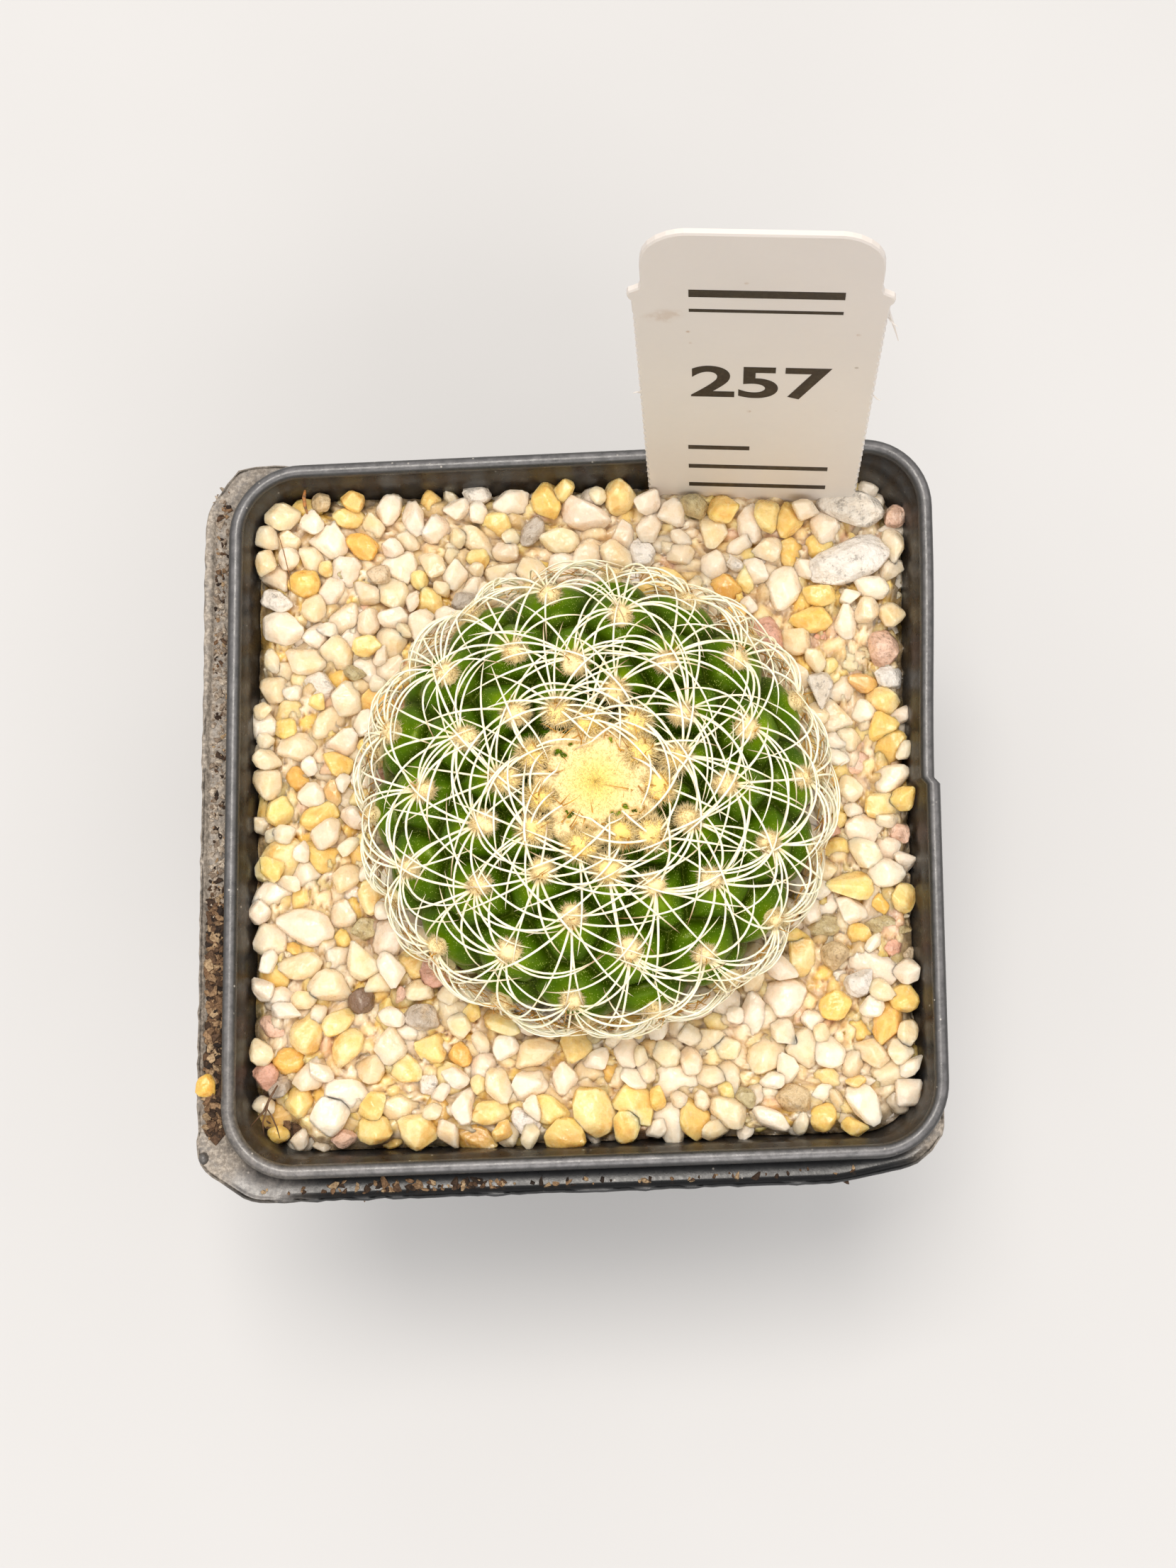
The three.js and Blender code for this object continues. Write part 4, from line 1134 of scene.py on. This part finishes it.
# Stones that stand out in the photograph: x, y, length, width, heading, kind and which of its tones
MARKED_STONE_PLANES = 17
MARKED_STONES = [
    (27.2, 23.9, 8.6, 4.2, 14, "speckled", 0), (27.6, 29.2, 6.6, 3.4, -10, "speckled", 1),
    (24.9, 27.6, 3.4, 2.9, -60, "white", 0), (24.1, 25.6, 3.0, 2.4, 10, "yellow", 1),
    (29.2, 21.2, 3.2, 2.4, -15, "white", 3), (30.2, 15, 3.8, 2.8, 80, "mixed", 3),
    (24.6, 16.4, 2.1, 1.8, 0, "mixed", 4), (27.2, 14.4, 3.8, 3.2, -30, "clear", 4),
    (30, 9.7, 3.5, 2.8, -30, "yellow", 2), (27.3, 3.6, 2.7, 2.4, 20, "mixed", 3),
    (30.6, 1.9, 3.8, 2.4, 35, "white", 1), (31, -3.4, 2.2, 1.9, 0, "mixed", 3),
    (24.8, -4.5, 2.6, 2.2, 0, "yellow", 1), (29.4, -7.4, 3.5, 2.9, -45, "white", 3),
    (28.6, -10, 2.6, 2.4, 0, "gold", 3), (23.2, -12.5, 3.5, 2.2, 5, "mixed", 2),
    (29.3, -12.4, 4.7, 2, -10, "mixed", 2), (30, -14.4, 2.1, 1.8, 30, "mixed", 4),
    (24.1, -15, 2.9, 2.6, 0, "mixed", 0), (19.2, -19.4, 4.4, 3.8, 40, "white", 2),
    (23.9, -20.3, 3.6, 2.8, 25, "yellow", 3), (26, -22.4, 2.7, 2.4, 0, "yellow", 1),
    (19.7, -29, 4, 3, -10, "mixed", 0), (22.4, -30.8, 3, 2.4, 60, "yellow", 1),
    (26.2, -29.4, 4.8, 2.9, -60, "white", 3), (-21.8, -18.5, 2.7, 2.4, 30, "mixed", 6),
    (-16, -20.2, 3.4, 2.7, 0, "mixed", 5), (-21.7, -11.4, 2.8, 2.2, 10, "mixed", 2),
    (-26.1, -8.1, 3.4, 2.3, -10, "gold", 0), (-26.7, -11.2, 5.2, 3.6, -30, "white", 2),
    (-12.5, -23.8, 2.6, 2.2, -60, "gold", 1), (-9.7, -29.4, 4.1, 2.5, 5, "yellow", 2),
    (-17.4, -25.4, 3.3, 2.6, -15, "yellow", 2), (-29, -24, 3.3, 2.7, 20, "gold", 3),
    (-30.6, -20.9, 2.4, 2, -30, "mixed", 3), (-23.2, -22.8, 3.9, 2.8, 60, "yellow", 2),
    (-27, 23.1, 3.4, 2.8, -20, "yellow", 3), (-21.3, 26.6, 3.4, 2.4, -30, "gold", 3),
    (-14.6, 31, 2.5, 2.1, 90, "gold", 0), (-18.6, 30.4, 3.4, 2.6, 60, "white", 0),
    (-24.4, 27.2, 3.6, 3, -20, "white", 3), (-4.2, 27.7, 3, 2, 40, "mixed", 5),
]
CORNER_STONES = [
    (-30.1, -31, 2.1, 1.8, 0, "yellow", 3), (-28, -31.6, 2.3, 1.7, 60, "white", 2),
    (-31.3, -28.4, 2.3, 1.9, -20, "clear", 3), (-23.8, -31.5, 2.4, 1.9, 10, "mixed", 3),
]


def stone_planes(random, count):
    """Half spaces whose overlap is a rough crystal of unit size."""
    index = np.arange(count) + 0.5
    height = 1 - 2 * index / count
    angle = index * 2.4 + random.normal(0, 0.35, count)
    level = np.sqrt(1 - height ** 2)
    normals = np.column_stack([level * np.cos(angle), level * np.sin(angle), height])
    normals = unit(normals + random.normal(0, 0.12, normals.shape))
    return normals, random.uniform(0.74, 1.0, count)


def stone_shape(random, count=None):
    """A crystal with blunt edges: its planes, and the points, facet normals and faces of its mesh."""
    normals, heights = stone_planes(random, count or int(random.integers(10, 15)))
    triples = np.array(list(itertools.combinations(range(len(normals)), 3)))
    sets = normals[triples]
    firm = np.abs(np.linalg.det(sets)) > 1e-4
    triples = triples[firm]
    corners = np.linalg.solve(sets[firm], heights[triples][..., None])[..., 0]
    kept = np.all(corners @ normals.T <= heights + 1e-7, axis=1)
    triples, corners = triples[kept], corners[kept]
    points, facets, place, rings = [], [], {}, {}
    for facet, normal in enumerate(normals):
        own = np.flatnonzero(np.any(triples == facet, axis=1))
        if len(own) < 3:
            continue
        middle = corners[own].mean(axis=0)
        side = unit(np.cross(normal, [0.3, 0.5, 0.81]))
        away = corners[own] - middle
        order = own[np.argsort(np.arctan2(away @ np.cross(normal, side), away @ side))]
        rings[facet] = order
        for corner in order:
            reach = middle - corners[corner]
            far = np.linalg.norm(reach)
            place[facet, corner] = len(points)
            points.append(corners[corner] + reach / far * min(random.uniform(0.2, 0.34), 0.45 * far))
            facets.append(normal)
    points, facets = np.array(points), np.array(facets)
    faces = {}
    for facet, order in rings.items():
        ring = [place[facet, corner] for corner in order]
        faces.setdefault(len(ring), []).append(ring)
        for a, b in zip(order, np.roll(order, -1)):
            shared = [g for g in triples[a] if g in triples[b] and g != facet]
            if len(shared) == 1 and facet < shared[0] and shared[0] in rings:
                other = shared[0]
                faces.setdefault(4, []).append(
                    [place[facet, b], place[facet, a], place[other, a], place[other, b]])
    for corner, triple in enumerate(triples):
        ring = [place[facet, corner] for facet in triple if (facet, corner) in place]
        if len(ring) == 3:
            p, q, r = points[ring]
            if np.cross(q - p, r - p) @ corners[corner] < 0:
                ring = ring[::-1]
            faces.setdefault(3, []).append(ring)
    return {"normals": normals, "heights": heights, "points": points, "facets": facets,
            "faces": [np.array(rows) for rows in faces.values()]}


def stone_pose(random, size):
    """Half sizes and a turn, with the short side mostly upright."""
    shares = [random.uniform(1.05, 1.45), random.uniform(0.85, 1.1), random.uniform(0.62, 0.9)]
    scale = size / 2 * np.array(shares)
    turn = (Matrix.Rotation(random.uniform(0, math.tau), 3, "Z")
            @ Matrix.Rotation(random.normal(0, STONE_TILT), 3, "X")
            @ Matrix.Rotation(random.normal(0, STONE_TILT), 3, "Y")
            @ Matrix.Rotation(random.uniform(0, math.tau), 3, "Z"))
    return scale, np.array(turn)


def add_stone(bodies, shape, place, scale, turn, tone):
    facets = unit((shape["facets"] / scale) @ turn.T)
    bodies.add(place + (shape["points"] * scale * STONE_SWELL) @ turn.T, shape["faces"], facets,
               stone_colour=np.clip(tone, 0, 1))


def stone_profile(normals, heights, scale, turn):
    """The lowest and highest z of a stone over a grid of cells round its middle, and where they hold."""
    faces = (normals / scale) @ turn.T
    reach = int(math.ceil(1.5 * scale.max() / CELL))
    offsets = np.arange(-reach, reach + 1) * CELL
    x, y = np.meshgrid(offsets, offsets, indexing="ij")
    level = (heights[:, None, None] - faces[:, 0, None, None] * x - faces[:, 1, None, None] * y)
    up = faces[:, 2] > 0.05
    down = faces[:, 2] < -0.05
    top = np.min(level[up] / faces[up, 2][:, None, None], axis=0)
    bottom = np.max(level[down] / faces[down, 2][:, None, None], axis=0)
    inside = (top > bottom) & (x ** 2 + y ** 2 < (1.5 * scale.max()) ** 2)
    return bottom, top, inside, reach


def sunk(x, y):
    """How far the grit has run down at a point, near the back right and front left corners."""
    back = np.hypot(x - RIM_HALF, y - RIM_HALF)
    front = np.hypot(x + RIM_HALF, y + RIM_HALF)
    return (CORNER_SINK * smoothstep(CORNER_SINK_REACH - back, 0, CORNER_SINK_REACH)
            + FRONT_SINK * smoothstep(FRONT_SINK_REACH - front, 0, 6))


def inside_pot(x, y, z, margin):
    """True where a point is clear of the pot's inner face."""
    lift = (z - SKEW_START_Z) / (POT_HEIGHT - SKEW_START_Z)
    px, py = (np.abs(value - lift * rim_shift(x, y, axis)) for axis, value in ((0, x), (1, y)))
    half = outer_half(z) - WALL - margin
    corner = corner_at(z) - WALL
    in_corner = (px > half - corner) & (py > half - corner)
    return (px < half) & (py < half) & (~in_corner | (
        np.hypot(px - half + corner, py - half + corner) < corner))


def label_axes():
    """Unit vectors across the label, up it and out of its face."""
    up = np.array([-math.tan(math.radians(LABEL_LEAN_LEFT)), math.tan(math.radians(LABEL_LEAN_BACK)), 1.0])
    up /= np.linalg.norm(up)
    across = np.array([math.cos(math.radians(LABEL_YAW)), math.sin(math.radians(LABEL_YAW)), 0.0])
    across -= up * across.dot(up)
    across /= np.linalg.norm(across)
    return across, up, np.cross(across, up)


def on_label(points):
    """Points given across, up and in front of the label, in the model's frame."""
    across, up, front = label_axes()
    points = np.asarray(points, float)
    return (np.array(LABEL_BASE) + points[..., 0:1] * across + points[..., 1:2] * up
            + points[..., 2:3] * front)


class Grit:
    """Drops stones one by one on the lowest of a few places, on a map of heights."""

    def __init__(self, random):
        self.random = random
        count = int(2 * RIM_HALF / CELL) + 1
        self.places = -RIM_HALF + CELL * np.arange(count)
        x, y = np.meshgrid(self.places, self.places, indexing="ij")
        self.map = SOIL_TOP_Z + 0.35 - sunk(x, y)
        blocked = ~inside_pot(x, y, 61, 0.02)
        blocked |= np.hypot(x - PLANT_X, y) < PLANT_HOLE_RADIUS
        across, _, front = label_axes()
        from_base = np.stack([x - LABEL_BASE[0], y - LABEL_BASE[1], 0 * x], axis=-1)
        beside = np.abs(from_base @ across) < LABEL_SLOT_HALF
        depth = np.abs(from_base @ front)
        blocked |= beside & (depth < 0.45)
        self.map[blocked] = 1e3
        wave = 0.28 * np.sin(x / 5.1 + 1.3) * np.cos(y / 4.3) + 0.2 * np.sin((x + y) / 8 + 0.6)
        near_wall = smoothstep(np.maximum(np.abs(x), np.abs(y)), 26, 32)
        near_wall *= 1 - smoothstep(sunk(x, y), 0.1, 0.8)
        at_label = beside * smoothstep(3.2 - depth, 0, 2) * (from_base @ front > 0)
        self.limit = STONE_TOP_Z + wave + 0.35 * near_wall + 1.2 * at_label - sunk(x, y)
        self.shapes = [stone_shape(random) for _ in range(STONE_SHAPES)]
        self.stones = []

    def drop(self, size, ring=None):
        """Drops a stone of this size, or a marked one from its row; ring is two radii round the plant."""
        shape = self.shapes[self.random.integers(len(self.shapes))]
        at, kind = None, None
        if isinstance(size, tuple):
            shape = stone_shape(self.random, MARKED_STONE_PLANES)
            at, (length, width, heading), kind = size[:2], size[2:5], size[5:]
            scale = 0.45 * np.array([length, width, min(0.95 * width, 2.8)])
            turn = np.array(Matrix.Rotation(math.radians(heading), 3, "Z"))
        else:
            scale, turn = stone_pose(self.random, size)
        bottom, top, inside, reach = stone_profile(shape["normals"], shape["heights"], scale, turn)
        best = None
        for _ in range(DROP_TRIES):
            if ring:
                away, angle = self.random.uniform(*ring), self.random.uniform(0, math.tau)
                i = int((PLANT_X + away * math.cos(angle) + RIM_HALF) / CELL)
                j = int((away * math.sin(angle) + RIM_HALF) / CELL)
            elif at is None:
                i, j = self.random.integers(reach, len(self.places) - reach, 2)
            else:
                i, j = (int(round((value + RIM_HALF) / CELL)) for value in at)
            window = (slice(i - reach, i + reach + 1), slice(j - reach, j + reach + 1))
            if i < reach or j < reach or self.map[window].shape != bottom.shape:
                continue
            met = inside & (self.map[window] < 500) if kind else inside
            rest = np.max(np.where(met, self.map[window] - bottom, -1e9))
            if rest < 500 and (best is None or rest < best[0]):
                best = (rest, i, j, window)
        if best is None:
            return
        rest, i, j, window = best
        high = rest + np.max(np.where(inside, top, -1e9))
        if at is None and high > self.limit[i, j] + 0.25:
            return
        level = rest + top if at is None else 1e3
        self.map[window] = np.where(inside, np.maximum(self.map[window], level), self.map[window])
        place = np.array([self.places[i], self.places[j], rest])
        self.stones.append((place, shape, scale, turn, kind))


def stone_size(random):
    return float(np.clip(random.lognormal(math.log(STONE_SIZE), STONE_SIZE_SPREAD), *STONE_SIZE_LIMITS))


def evened(loop, count):
    """A closed loop of points with so many even steps."""
    closed = np.concatenate([loop, loop[:1]])
    walked = np.concatenate([[0], np.cumsum(np.linalg.norm(np.diff(closed, axis=0), axis=1))])
    stops = np.linspace(0, walked[-1], count, endpoint=False)
    return np.column_stack([np.interp(stops, walked, closed[:, axis]) for axis in range(3)])


def grit_bed(material):
    """The stones deeper down, as one lumpy bed round the plant that shows only in the gaps."""
    random = np.random.default_rng(3)
    outer = evened(square_ring(outer_half(60) - WALL - 0.25, corner_at(60) - WALL, 0), BED_COLUMNS)
    angle = np.arctan2(outer[:, 1], outer[:, 0] - PLANT_X)
    inner = np.column_stack([
        PLANT_X + BED_INNER_RADIUS * np.cos(angle), BED_INNER_RADIUS * np.sin(angle), 0 * angle])
    share = np.linspace(0, 1, BED_ROWS)[:, None, None]
    top = outer * (1 - share) + inner * share
    flat = top[..., :2].reshape(-1, 2)
    ratio, nearest = nearest_of(random.uniform(-RIM_HALF, RIM_HALF, (BED_STONES, 2)), flat)
    bare = smoothstep(8.5 - np.hypot(flat[:, 0] + RIM_HALF, flat[:, 1] + RIM_HALF), 0, 1.5)
    by_wall = np.repeat(1 - smoothstep(np.arange(len(top)), 0, 6), len(outer))
    level = BED_TOP_Z - 1.6 * by_wall + 0.9 * (1 - ratio ** 2) + 0.35 * np.sin(1.9 * nearest)
    level -= sunk(flat[:, 0], flat[:, 1]) + 2 * bare
    top[..., 2] = level.reshape(top.shape[:2])
    low_inner, low_outer = inner.copy(), outer.copy()
    low_inner[:, 2] = low_outer[:, 2] = SOIL_TOP_Z + 0.3
    points = np.concatenate([top, [low_inner, low_outer]])
    palette = WHITE_STONES + CLEAR_STONES + YELLOW_STONES + MIXED_STONES[:4]
    tones = np.array([srgb(*tone) for tone in palette])
    shade = (0.96 - 0.3 * smoothstep(ratio, 0.6, 0.95)) * (1 - 0.75 * by_wall)
    warmed = tones[nearest % len(tones)] * shade[:, None] * [1, 0.92, 0.78]
    colours = np.concatenate([warmed, np.tile(tones[0], (2 * len(outer), 1))])
    bodies = Bodies()
    faces = grid_faces(len(points), len(outer), wrap=True)[:, ::-1]
    bodies.add(skewed(points), [faces], stone_colour=colours)
    return bodies.piece("grit_bed", material, "quartz_grit", ["gravel_topping"])


def grit_pieces(finishes):
    """The stones one by one: big ones first, then what fits the holes they leave."""
    random = np.random.default_rng(21)
    grit = Grit(random)
    surface = grit.limit
    grit.limit = surface - LOWER_LAYER
    for _ in range(LOWER_DROPS):
        grit.drop(stone_size(random))
    grit.limit = surface
    for mark in MARKED_STONES + CORNER_STONES:
        grit.drop(mark)
    # In the front left corner the compost shows between single stones
    x, y = np.meshgrid(grit.places, grit.places, indexing="ij")
    grit.limit = surface - 8.0 * (np.hypot(x + RIM_HALF, y + RIM_HALF) < BARE_REACH)
    for _ in range(UPPER_DROPS):
        grit.drop(stone_size(random))
    for count, sizes, ring in FILLERS:
        for _ in range(count):
            grit.drop(random.uniform(*sizes), ring=ring)
    kinds = list(STONE_KINDS)
    shares = [STONE_KINDS[kind][1] for kind in kinds]
    gathered = {kind: Bodies() for kind in kinds}
    for place, shape, scale, turn, marked in grit.stones:
        kind = random.choice(kinds, p=shares)
        # The last tone of each kind is kept for marked stones and the bed
        palette = STONE_KINDS[kind][0][:-1]
        tone = np.array(srgb(*palette[random.integers(len(palette))])) * random.uniform(0.9, 1.03)
        if marked is not None:
            kind = marked[0]
            tone = np.array(srgb(*STONE_KINDS[kind][0][marked[1]]))
        add_stone(gathered[kind], shape, place, scale, turn, tone)
    return [bodies.piece(f"grit_{kind}", finishes[kind], "quartz_grit", ["gravel_topping"])
            for kind, bodies in gathered.items()]


def stray_piece(material):
    """The one stone that lies on the ledge."""
    random = np.random.default_rng(5)
    bodies = Bodies()
    add_stone(bodies, stone_shape(random, 15), np.array([-36.4, -26.4, 63.7]), np.array([0.85, 1.0, 0.65]),
              np.eye(3), srgb(236, 184, 92))
    return bodies.piece("stray_grit", material, "quartz_grit", ["stray_stone"])


LEFT_CRUMBS = 2600
FRONT_CRUMBS = 420
CORNER_CRUMBS = 170
CRUMB_SIZE = 0.36
CRUMB_TONES = [(66, 48, 34), (96, 72, 52), (132, 102, 74), (160, 130, 98), (46, 33, 24), (182, 156, 122)]
DUST_TONES = [(164, 150, 134), (186, 172, 156), (146, 130, 114), (200, 188, 172)]


def crumbs_piece(material):
    """Compost crumbs in the channel of the flange, thickest along the lower left, and in the corner."""
    random = np.random.default_rng(41)
    shapes = [stone_shape(random, 7) for _ in range(14)]
    bodies = Bodies()
    for _ in range(LEFT_CRUMBS):
        y = random.uniform(-30.5, 33)
        low = smoothstep(-y, 3, 12)
        if random.uniform() > 0.22 + 0.78 * low:
            continue
        x = random.uniform(-36.3, -34.9)
        tones = CRUMB_TONES if random.uniform() < 0.25 + 0.75 * low else DUST_TONES
        z = FLANGE_TOP_Z + random.uniform(0, 0.06 + 0.3 * low)
        add_crumb(bodies, random, shapes, tones, x, y, z, low)
    for _ in range(FRONT_CRUMBS):
        x = random.uniform(-33, 26)
        if random.uniform() > 0.15 + 0.85 * smoothstep(-x, 2, 14) * smoothstep(x, -27, -20):
            continue
        y = -35.85 + random.normal(0, 0.26)
        add_crumb(bodies, random, shapes, CRUMB_TONES, x, y, FLANGE_TOP_Z + 0.04, 0.3)
    for _ in range(CORNER_CRUMBS):
        x, y = -30.9 + abs(random.normal(0, 2.6)), -30.9 + abs(random.normal(0, 2.6))
        if inside_pot(x, y, 59, 0.3):
            add_crumb(bodies, random, shapes, CRUMB_TONES[:3], x, y, random.uniform(57.4, 58.9), 1.6)
    return bodies.piece("compost_crumbs", material, "compost")


def debris_piece(material):
    """A splinter by the back wall, and a forked dry root over the front left corner."""
    paths = [
        [(-26.8, 32.1, 62.6), (-26.9, 31.3, 62.7), (-26.8, 30.5, 62.6), (-26.6, 29.7, 62.3)],
        [(-29.8, -26.4, 62.2), (-30.4, -27.5, 62.6), (-31.1, -28.8, 62.2), (-32.4, -30.2, 62.0)],
        [(-30.5, -27.6, 62.5), (-30.8, -28.8, 62.7), (-31.2, -29.9, 62.3), (-31.2, -31.2, 61.6)],
        [(-30.9, -28.4, 62.4), (-30.3, -29.3, 62.5), (-29.9, -30.4, 62.0), (-29.7, -31.4, 61.4)],
        [(-29.5, 27.8, 62.6), (-28.9, 25.8, 62.9), (-28.4, 23.6, 62.7), (-28.3, 21.4, 62.3)],
    ]
    widths = (0.2, 0.13, 0.09, 0.08, 0.05)
    bodies = Bodies()
    for path, width, tint in zip(paths, widths, (1.0, 0.15, 0.2, 0.1, 0.7)):
        points, faces = tubes([path], [width * np.array([0.6, 1.0, 0.9, 0.4])], 7)
        bodies.add(points, faces, tint=np.full(len(points), tint))
    return bodies.piece("dry_scraps", material, "compost")


def add_crumb(bodies, random, shapes, tones, x, y, z, coarse):
    """One crumb, bigger where coarse is more."""
    size = float(np.clip(random.lognormal(math.log(CRUMB_SIZE), 0.4), 0.14, 0.8))
    size *= 0.62 + 0.38 * coarse
    scale, turn = stone_pose(random, size)
    place = skewed(np.array([[x, y, z]]))[0]
    tone = np.array(srgb(*tones[random.integers(len(tones))]))
    add_stone(bodies, shapes[random.integers(len(shapes))], place, scale, turn, tone)


# Label

def label_outline():
    """Right side from the foot to the top, then down the left, with teeth where it was torn off."""
    right = [(1.2, -LABEL_BURIED), (9.65, 30 - LABEL_BURIED), (LABEL_HALF, -1)]
    for i in range(int(TEETH_HEIGHT / TOOTH_PITCH)):
        y = -1 + (i + 0.5) * TOOTH_PITCH
        half = LABEL_HALF + 0.4 * (y + 1) / 40.3
        right.append((half - (TOOTH_DEPTH if i % 2 else 0), y))
    right += [(10.65, 39.8), (10.95, 40.3), (11.0, 40.8), (10.85, 41.2), (10.4, 41.5), (10.0, 41.8),
              (9.82, 42.5), (9.82, 45.4), (9.76, 46.5), (9.54, 47.6), (9.1, 48.6), (8.45, 49.4),
              (7.6, 50.05), (6.9, 50.35), (6.2, LABEL_EXPOSED)]
    left = [(-x, y) for x, y in right][::-1]
    return np.array(right + left)


def label_piece(material):
    """The label, a flat card with blunt edges, and its torn threads."""
    outline = label_outline()
    half = LABEL_THICKNESS / 2
    middle = outline.mean(axis=0)
    rings = []
    for inset, depth in ((LABEL_EDGE, -half), (0, -half + LABEL_EDGE), (0, half - LABEL_EDGE),
                         (LABEL_EDGE, half)):
        size = 1 - inset / 10
        flat = middle + (outline - middle) * size
        rings.append(np.column_stack([flat, np.full(len(flat), depth)]))
    count = len(outline)
    points = on_label(np.array(rings))
    bodies = Bodies()
    back = np.arange(count)[::-1][None]
    bodies.add(points, [grid_faces(4, count), back, 3 * count + np.arange(count)[None]])
    for path, width in LABEL_BURRS:
        points, faces = tubes([on_label(np.array(path))], [width * np.array([1.0, 0.9, 0.7, 0.3])], 6)
        bodies.add(points, faces)
    return bodies.piece("label_card", material, "label_plastic", ["plant_label"], smooth=False)


def bar(bodies, left, right, low, high):
    """A flat printed bar on the label's face."""
    front = LABEL_THICKNESS / 2
    corners = [(left, low), (right, low), (right, high), (left, high)]
    points = [(x, y, front + 0.001) for x, y in corners] + [(x, y, front + 0.02) for x, y in corners]
    faces = [[[3, 2, 1, 0], [4, 5, 6, 7], [0, 1, 5, 4], [1, 2, 6, 5], [2, 3, 7, 6], [3, 0, 4, 7]]]
    bodies.add(on_label(points), faces)


def print_pieces(material):
    """A plain number and plain ruled lines."""
    bodies = Bodies()
    for left, right, low, width in LABEL_LINES:
        bar(bodies, left, right, low, low + width)
    lines = bodies.piece("label_lines", material, "label_plastic", smooth=False)
    curve = bpy.data.curves.new("label_number", "FONT")
    curve.body = NUMBER
    curve.size = NUMBER_SIZE * MM
    curve.extrude = 0.01 * MM
    curve.offset = NUMBER_THICKENING * MM
    curve.align_x = "CENTER"
    text = put("label_number", curve)
    start = on_label(np.array([*NUMBER_PLACE, LABEL_THICKNESS / 2 + 0.012]))
    turn = Matrix(label_axes()).transposed().to_4x4()
    text.matrix_world = Matrix.Translation(Vector(start) * MM) @ turn
    bpy.context.view_layer.update()
    mesh = bpy.data.meshes.new_from_object(text.evaluated_get(bpy.context.evaluated_depsgraph_get()))
    mesh.transform(text.matrix_world)
    bpy.data.objects.remove(text)
    mesh.materials.clear()
    mesh.materials.append(material)
    return lines, settle(put("label_number_print", mesh))


# Stage, light and camera

def add_stage():
    m = Finish("floor_finish")
    pale = m.mix(m.noise(14, 3), (0.56, 0.56, 0.57), (0.6, 0.6, 0.61))
    bpy.ops.mesh.primitive_plane_add(size=6, location=(0, 0, 0))
    floor = bpy.context.object
    floor.name = "floor"
    floor.data.materials.append(m.surface(pale, 0.75))


def facing(place, target):
    """The turn of a lamp or a camera that looks from a place at a target."""
    return (Vector(place) - Vector(target)).to_track_quat("Z", "Y")


def add_light(name, place, size, power, colour):
    """A soft lamp that looks at the plant."""
    light = bpy.data.lights.new(name, "AREA")
    light.shape = "RECTANGLE"
    light.size, light.size_y = size
    light.energy = power
    light.color = colour
    lamp = put(name, light)
    lamp.location = place
    lamp.rotation_mode = "QUATERNION"
    lamp.rotation_quaternion = facing(place, LIT_POINT)


def add_studio():
    world = bpy.data.worlds.new("soft_room")
    world.use_nodes = True
    backdrop = world.node_tree.nodes["Background"]
    backdrop.inputs["Color"].default_value = ROOM_COLOUR
    backdrop.inputs["Strength"].default_value = ROOM_STRENGTH
    bpy.context.scene.world = world
    for name, settings in LIGHTS.items():
        add_light(name, *settings)
    bpy.context.scene.view_settings.view_transform = "Standard"


def add_camera():
    lens = bpy.data.cameras.new("camera")
    lens.lens = CAMERA_LENS
    lens.sensor_width = FILM_LENGTH
    lens.clip_start = 0.01
    camera = put("camera", lens)
    roll = Matrix.Rotation(math.radians(CAMERA_ROLL), 4, "Z")
    turn = facing(CAMERA_PLACE, CAMERA_AIM).to_matrix().to_4x4() @ roll
    camera.matrix_world = Matrix.Translation(Vector(CAMERA_PLACE) * MM) @ turn
    bpy.context.scene.camera = camera


add_stage()
add_studio()
add_camera()

pot_piece(plastic_finish())
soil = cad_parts["soil"]
soil.data.materials.clear()
soil.data.materials.append(soil_finish())
quartz = {
    "white": quartz_finish("white_quartz", (1.0, 0.96, 0.9), 0.03, 2.0, 0.12),
    "clear": quartz_finish("clear_quartz", (1.0, 0.96, 0.86), 0.06, 3.0, 0.3),
    "yellow": quartz_finish("yellow_quartz", (1.0, 0.92, 0.7), 0.1, 2.0, 0.65),
    "gold": quartz_finish("gold_quartz", (1.0, 0.9, 0.7), 0.2, 1.8, 0.6, (168, 112, 54)),
    "mixed": quartz_finish("granular_stone", (0.74, 0.68, 0.62), 0.55, 0.4, 0.2),
    "speckled": quartz_finish("speckled_stone", (0.84, 0.82, 0.8), 0.7, 0.6, 0.1, (134, 126, 118), 1000),
}
grit_bed(quartz["clear"])
grit_pieces(quartz)
stray_piece(quartz["yellow"])
crumbs_piece(crumb_finish())
body_piece(skin_finish())
spine_material = spine_finish()
spines_piece(spine_material)
wool = wool_finish()
wool_pads_piece(wool)
crown_wool_piece(wool)
bristle = bristle_finish()
bristles_piece(bristle)
fringe_piece(bristle)
debris_piece(scrap_finish())
label_piece(label_finish())
print_pieces(ink_finish())
